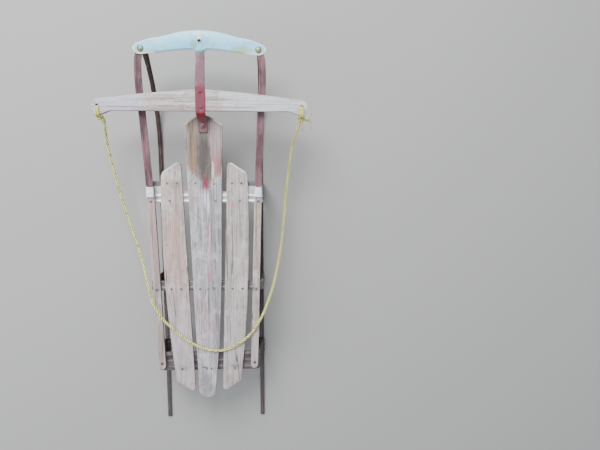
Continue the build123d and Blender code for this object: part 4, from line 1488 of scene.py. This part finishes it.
eye_top, eye_foot = link_high.z, link_low.z
turned("bumper_eyelet", (0, LINK_PLACE[1], 0), [
    (0.0048, eye_top - 0.0012), (0.0064, eye_top - 0.0010), (0.0065, eye_top - 0.0004),
    (0.0056, eye_top), (0.0042, eye_top - 0.0002), (0.0036, eye_top - 0.0012),
    (0.0036, eye_foot + 0.0004), (0.0044, eye_foot), (0.0078, eye_foot + 0.0001),
    (0.0079, eye_foot + 0.0012), (0.0048, eye_foot + 0.0014), (0.0048, eye_top - 0.0012)],
    *RIVET_DRESS, "bumper_link_rivet", hollow=True)

tie_top = BUMPER_FOOT + BUMPER_WALL
tie_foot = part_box("bumper_end_rivets")[0].z
for side, name in SIDES:
    x, y = side * BUMPER_TIE[0], BUMPER_TIE[1]
    stands_for = ["bumper_end_rivets"] if side > 0 else []
    dome(f"bumper_rivet_{name}", (x, y, tie_top), *BUMPER_HEAD, *RIVET_DRESS, *stands_for)
    turned(f"bumper_rivet_foot_{name}", (x, y, tie_foot), [
        (0.0050, 0), (0.0063, 0.0006), (0.0064, 0.0016), (0.0035, 0.0018),
        (0.0035, tie_top - tie_foot)], *RIVET_DRESS)
for y, name in STRAP_RIVETS:
    dome(f"strap_rivet_{name}", (0.001, y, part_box("steering_strap")[1].z), *STRAP_HEAD,
         strap_paint, "strap_paint", "steering")
print("steering bolts and rivets are in")

# %% [markdown]
# The planks are riveted to the arches. The heads are low, and those of the rail bolts are rounder.
# Their places follow the arches: two rows in front, one in the middle and one at the back.

# %% Plank fasteners
# X and Y of the heads on the right half of the deck; the centre plank's own heads have both signs
SIDE_HEADS = ((0.080, 0.192), (0.107, 0.192), (0.102, 0.141), (0.076, -0.124), (0.106, -0.124),
              (0.080, -0.375))
CENTRE_HEADS = ((-0.026, 0.192), (0.028, 0.190), (0.031, 0.141), (-0.020, -0.124), (0.004, -0.124),
                (0.022, -0.124), (-0.006, -0.375), (0.008, -0.375))
RAIL_BOLTS_Y = (0.140, -0.124, -0.355)
SIDE_HEAD, CENTRE_HEAD, RAIL_BOLT_HEAD = (0.0034, 0.0010), (0.0032, 0.0010), (0.0046, 0.0022)
deck_z = plank_high.z
for row, (x, y) in enumerate(SIDE_HEADS):
    for side, name in SIDES:
        dome(f"plank_rivet_{name}_{row}", (side * x, y, deck_z), *SIDE_HEAD, *NAIL_DRESS)
for row, (x, y) in enumerate(CENTRE_HEADS):
    dome(f"plank_rivet_center_{row}", (x, y, deck_z), *CENTRE_HEAD, *NAIL_DRESS)
for row, y in enumerate(RAIL_BOLTS_Y):
    x = RAIL_X[0] + RAIL_X[1] * y
    for side, name in SIDES:
        dome(f"rail_bolt_{name}_{row}", (side * x, y, rail_high.z), *RAIL_BOLT_HEAD, *NAIL_DRESS)
fasteners = len(CENTRE_HEADS) + 2 * (len(SIDE_HEADS) + len(RAIL_BOLTS_Y))
print(fasteners, "fasteners")

# %% [markdown]
# ## The rail clips
#
# A bright saddle of sheet metal holds the end of each arm down on its rail. It is a strip bent
# over the rail, so it is grown along that bend and given its wall afterwards.

# %% Clips
CLIP_WALL, CLIP_BEND, CLIP_RIB, CLIP_RIB_HALF = 0.0015, 0.0022, 0.0007, 0.007


def rail_clip(name):
    """The right clip, with a rib along its middle."""
    low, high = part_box("rail_clip_right")
    left, right, top = low.x + CLIP_WALL / 2, high.x - CLIP_WALL / 2, high.z - CLIP_WALL / 2
    corners = [(left, low.z), (left, top), (right, top), (right, low.z)]
    line = rounded_line(corners, [CLIP_BEND, CLIP_BEND], radians(15), 0.006)
    clip = start_section(name, high.y - low.y, 12, across="Y")

    def rib(y):
        return CLIP_RIB * max(0.0, cos(pi / 2 * y / CLIP_RIB_HALF)) if abs(y) < CLIP_RIB_HALF else 0.0

    raise_columns(clip, "Y", rib)
    middle = (low.y + high.y) / 2
    grow(clip, [(Vector((x, middle, z)), heading, (1, 1)) for x, z, heading in line], "Y")
    add_finish(clip, CLIP_WALL, 0.0004)
    return clip


for side, clip in both_sides(rail_clip, "clip"):
    dress(clip, metals["clip_steel"], "clip_steel", "root", f"rail_clip_{side}")
    print(clip.name, [round(v, 4) for v in clip.dimensions])

# %% [markdown]
# ## The knots
#
# The rope goes down through a hole in the bar's end, comes back round the rear edge and is tied
# to itself. A trefoil is the line of a simple overhand knot, so the knot is laid along a trefoil.
# Cut plastic twine frays, so thin fibres spread from the knot, fewer on the left than on the right.

# %% Lines of ties and knots
KNOT, KNOT_SIZE, KNOT_LAY = (0.281, 0.3775, 0.176), 0.0035, 0.016
# The ties are pulled thinner than the free rope
TIE_YARN, TIE_LAY = ROPE_THICKNESS * 0.78, 0.014
TIE_NEAR_Y, TIE_STAND_OFF, TIE_CORNER, TIE_SHIFTS = 0.3806, 0.0034, 0.007, (-0.0027, 0.0027)


def tie_loop(side, shift):
    """The line of a loop through the hole and round the bar's rear edge."""
    near, far = TIE_NEAR_Y + TIE_CORNER, ROPE_HOLE[1] - 0.0015 - TIE_CORNER
    low, high = bar_low.z - TIE_STAND_OFF + TIE_CORNER, bar_high.z + TIE_STAND_OFF - TIE_CORNER
    spots = []
    for y, z, start in ((far, high, 0), (near, high, 90), (near, low, 180), (far, low, 270)):
        for a in range(start, start + 91, 15):
            across, up = TIE_CORNER * cos(radians(a)), TIE_CORNER * sin(radians(a))
            spots.append(Vector((side * (ROPE_HOLE[0] + shift), y + across, z + up)))
    return [*spots, spots[0].copy()]


def trefoil(side):
    """The line of an overhand knot."""
    spots = []
    for i in range(73):
        a = 2 * pi * i / 72
        x = sin(a) + 2 * sin(2 * a)
        y = cos(a) - 2 * cos(2 * a)
        spots.append(Vector(KNOT) + Vector((y * 0.85, x * 0.8, -sin(3 * a) * 1.6)) * KNOT_SIZE)
        spots[-1].x *= side
    return spots


print("a knot's line has", len(trefoil(1)), "places")

# %% [markdown]
# A frayed end is drawn as a few fibres along one line. Each strays from it at random, more so
# towards the tip, and thins out.

# %% Frays
# Where the loose ends lie, from the knot on, for the right side; the left side has the first only
LOOSE_ENDS = (
    ((0.279, 0.372, 0.172), (0.275, 0.362, 0.162), (0.270, 0.350, 0.152), (0.266, 0.338, 0.148)),
    ((0.284, 0.373, 0.172), (0.286, 0.362, 0.160), (0.284, 0.350, 0.150), (0.287, 0.342, 0.140)),
    ((0.286, 0.378, 0.176), (0.297, 0.374, 0.176), (0.302, 0.384, 0.178), (0.306, 0.394, 0.176),
     (0.309, 0.384, 0.168)),
    ((0.286, 0.376, 0.174), (0.298, 0.372, 0.170), (0.307, 0.378, 0.168), (0.309, 0.362, 0.160),
     (0.313, 0.348, 0.150)),
    ((0.285, 0.374, 0.174), (0.296, 0.368, 0.166), (0.300, 0.376, 0.170), (0.305, 0.366, 0.158)),
)
FIBRES, FIBRE_RADIUS, FIBRE_TIP = 6, 0.0008, 0.55
# How far a fibre strays from its line at the knot, and how much further at its tip
STRAY = (0.0010, 0.0030)


def loose_fibre(side, end, dice):
    """One fibre along the line of a loose end, as (place, share of the radius)."""
    fibre = []
    for i, (x, y, z) in enumerate(end):
        share = i / (len(end) - 1)
        reach = STRAY[0] + STRAY[1] * share
        wave = Vector([dice.uniform(-1, 1) * reach for _ in range(3)])
        place = (side * (x + wave.x), y + wave.y, z + wave.z)
        fibre.append((place, 1.0 - (1.0 - FIBRE_TIP) * share))
    return fibre


def frayed_ends(name, side, ends, seed):
    """Unlaid ends of the rope: a few fibres along the line of each, which spread to the tip."""
    dice = random.Random(seed)
    fibres = [loose_fibre(side, end, dice) for end in ends for _ in range(FIBRES)]
    piece = piece_from(name, nurbs_mesh(name, fibres, bevel_depth=FIBRE_RADIUS, bevel_resolution=1))
    mark(piece, "crest", [1.0] * len(piece.data.vertices))
    return piece


print("fibres on the right and on the left:", FIBRES * len(LOOSE_ENDS), FIBRES)

# %% [markdown]
# The ties, knots and frays ride on the bar. The free rope lies still on the deck.

# %% Ties, knots and the free rope
knot_pieces = []
for side, name in SIDES:
    ends = LOOSE_ENDS if side > 0 else LOOSE_ENDS[:1]
    for i, shift in enumerate(TIE_SHIFTS):
        tie = lay_strands(f"tie_{name}_{i}", tie_loop(side, shift), TIE_YARN, TIE_LAY, closed=True)
        dress(tie, rope_yarn, "rope_yarn", "steering")
        knot_pieces.append(tie)
    knot = lay_strands(f"knot_{name}", trefoil(side), TIE_YARN, KNOT_LAY, closed=True)
    dress(knot, rope_yarn, "rope_yarn", "steering", f"rope_tie_{name}")
    fray = frayed_ends(f"fray_{name}", side, ends, 7 + side)
    dress(fray, fray_yarn, "rope_yarn", "steering")
    knot_pieces += [knot, fray]

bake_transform(tow_rope)
dress(tow_rope, rope_yarn, "rope_yarn", None, "rope_loop")
[tuple(p) for p in rope_points]
print("knots and frays:", len(knot_pieces))

# %% [markdown]
# ## Floor and light
#
# The sled stands on a plain pale floor. One large lamp, high up in front, gives the soft light of a
# pale sky, a second from the left brings out the edges, and the world fills in.

# %% Floor and lamps
FLOOR_SIZE, FLOOR_Z, LIT_SPOT = 60, -0.0005, Vector((0, 0, 0.1))
floor = add_new(bpy.ops.mesh.primitive_plane_add, "studio_floor", size=FLOOR_SIZE,
                location=(0, 0, FLOOR_Z))
floor.data.materials.append(PaintPot("studio_floor").finish((0.43, 0.425, 0.42), 0.9))
floor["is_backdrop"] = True


def soft_lamp(name, place, size, power):
    lamp = add_new(bpy.ops.object.light_add, name, type="AREA", location=place)
    lamp.data.size, lamp.data.energy = size, power
    lamp.rotation_euler = (LIT_SPOT - Vector(place)).to_track_quat("-Z", "Y").to_euler()


soft_lamp("sky_panel", (-0.5, 2.3, 2.5), 1.8, 165)
soft_lamp("left_panel", (-2.2, -0.6, 1.8), 1.6, 30)
world = bpy.data.worlds.new("studio")
world.use_nodes = True
sky = world.node_tree.nodes["Background"].inputs
sky["Color"].default_value = (0.9, 0.95, 1.0, 1)
sky["Strength"].default_value = 0.6
bpy.context.scene.world = world
print("floor, two lamps and a pale world")

# %% [markdown]
# ## Sizes
#
# The box of the dressed sled is measured and printed; the CAD sled's box was printed at the start.
# The dressed sled has to keep to the CAD sled's box.

# %% Measure the sizes
boxes = {"cad": cad_bounds, "visual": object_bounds()}
sizes = {name: [list(corner) for corner in box] for name, box in boxes.items()}
print("visual box:", [round(v, 3) for corner in sizes["visual"] for v in corner])
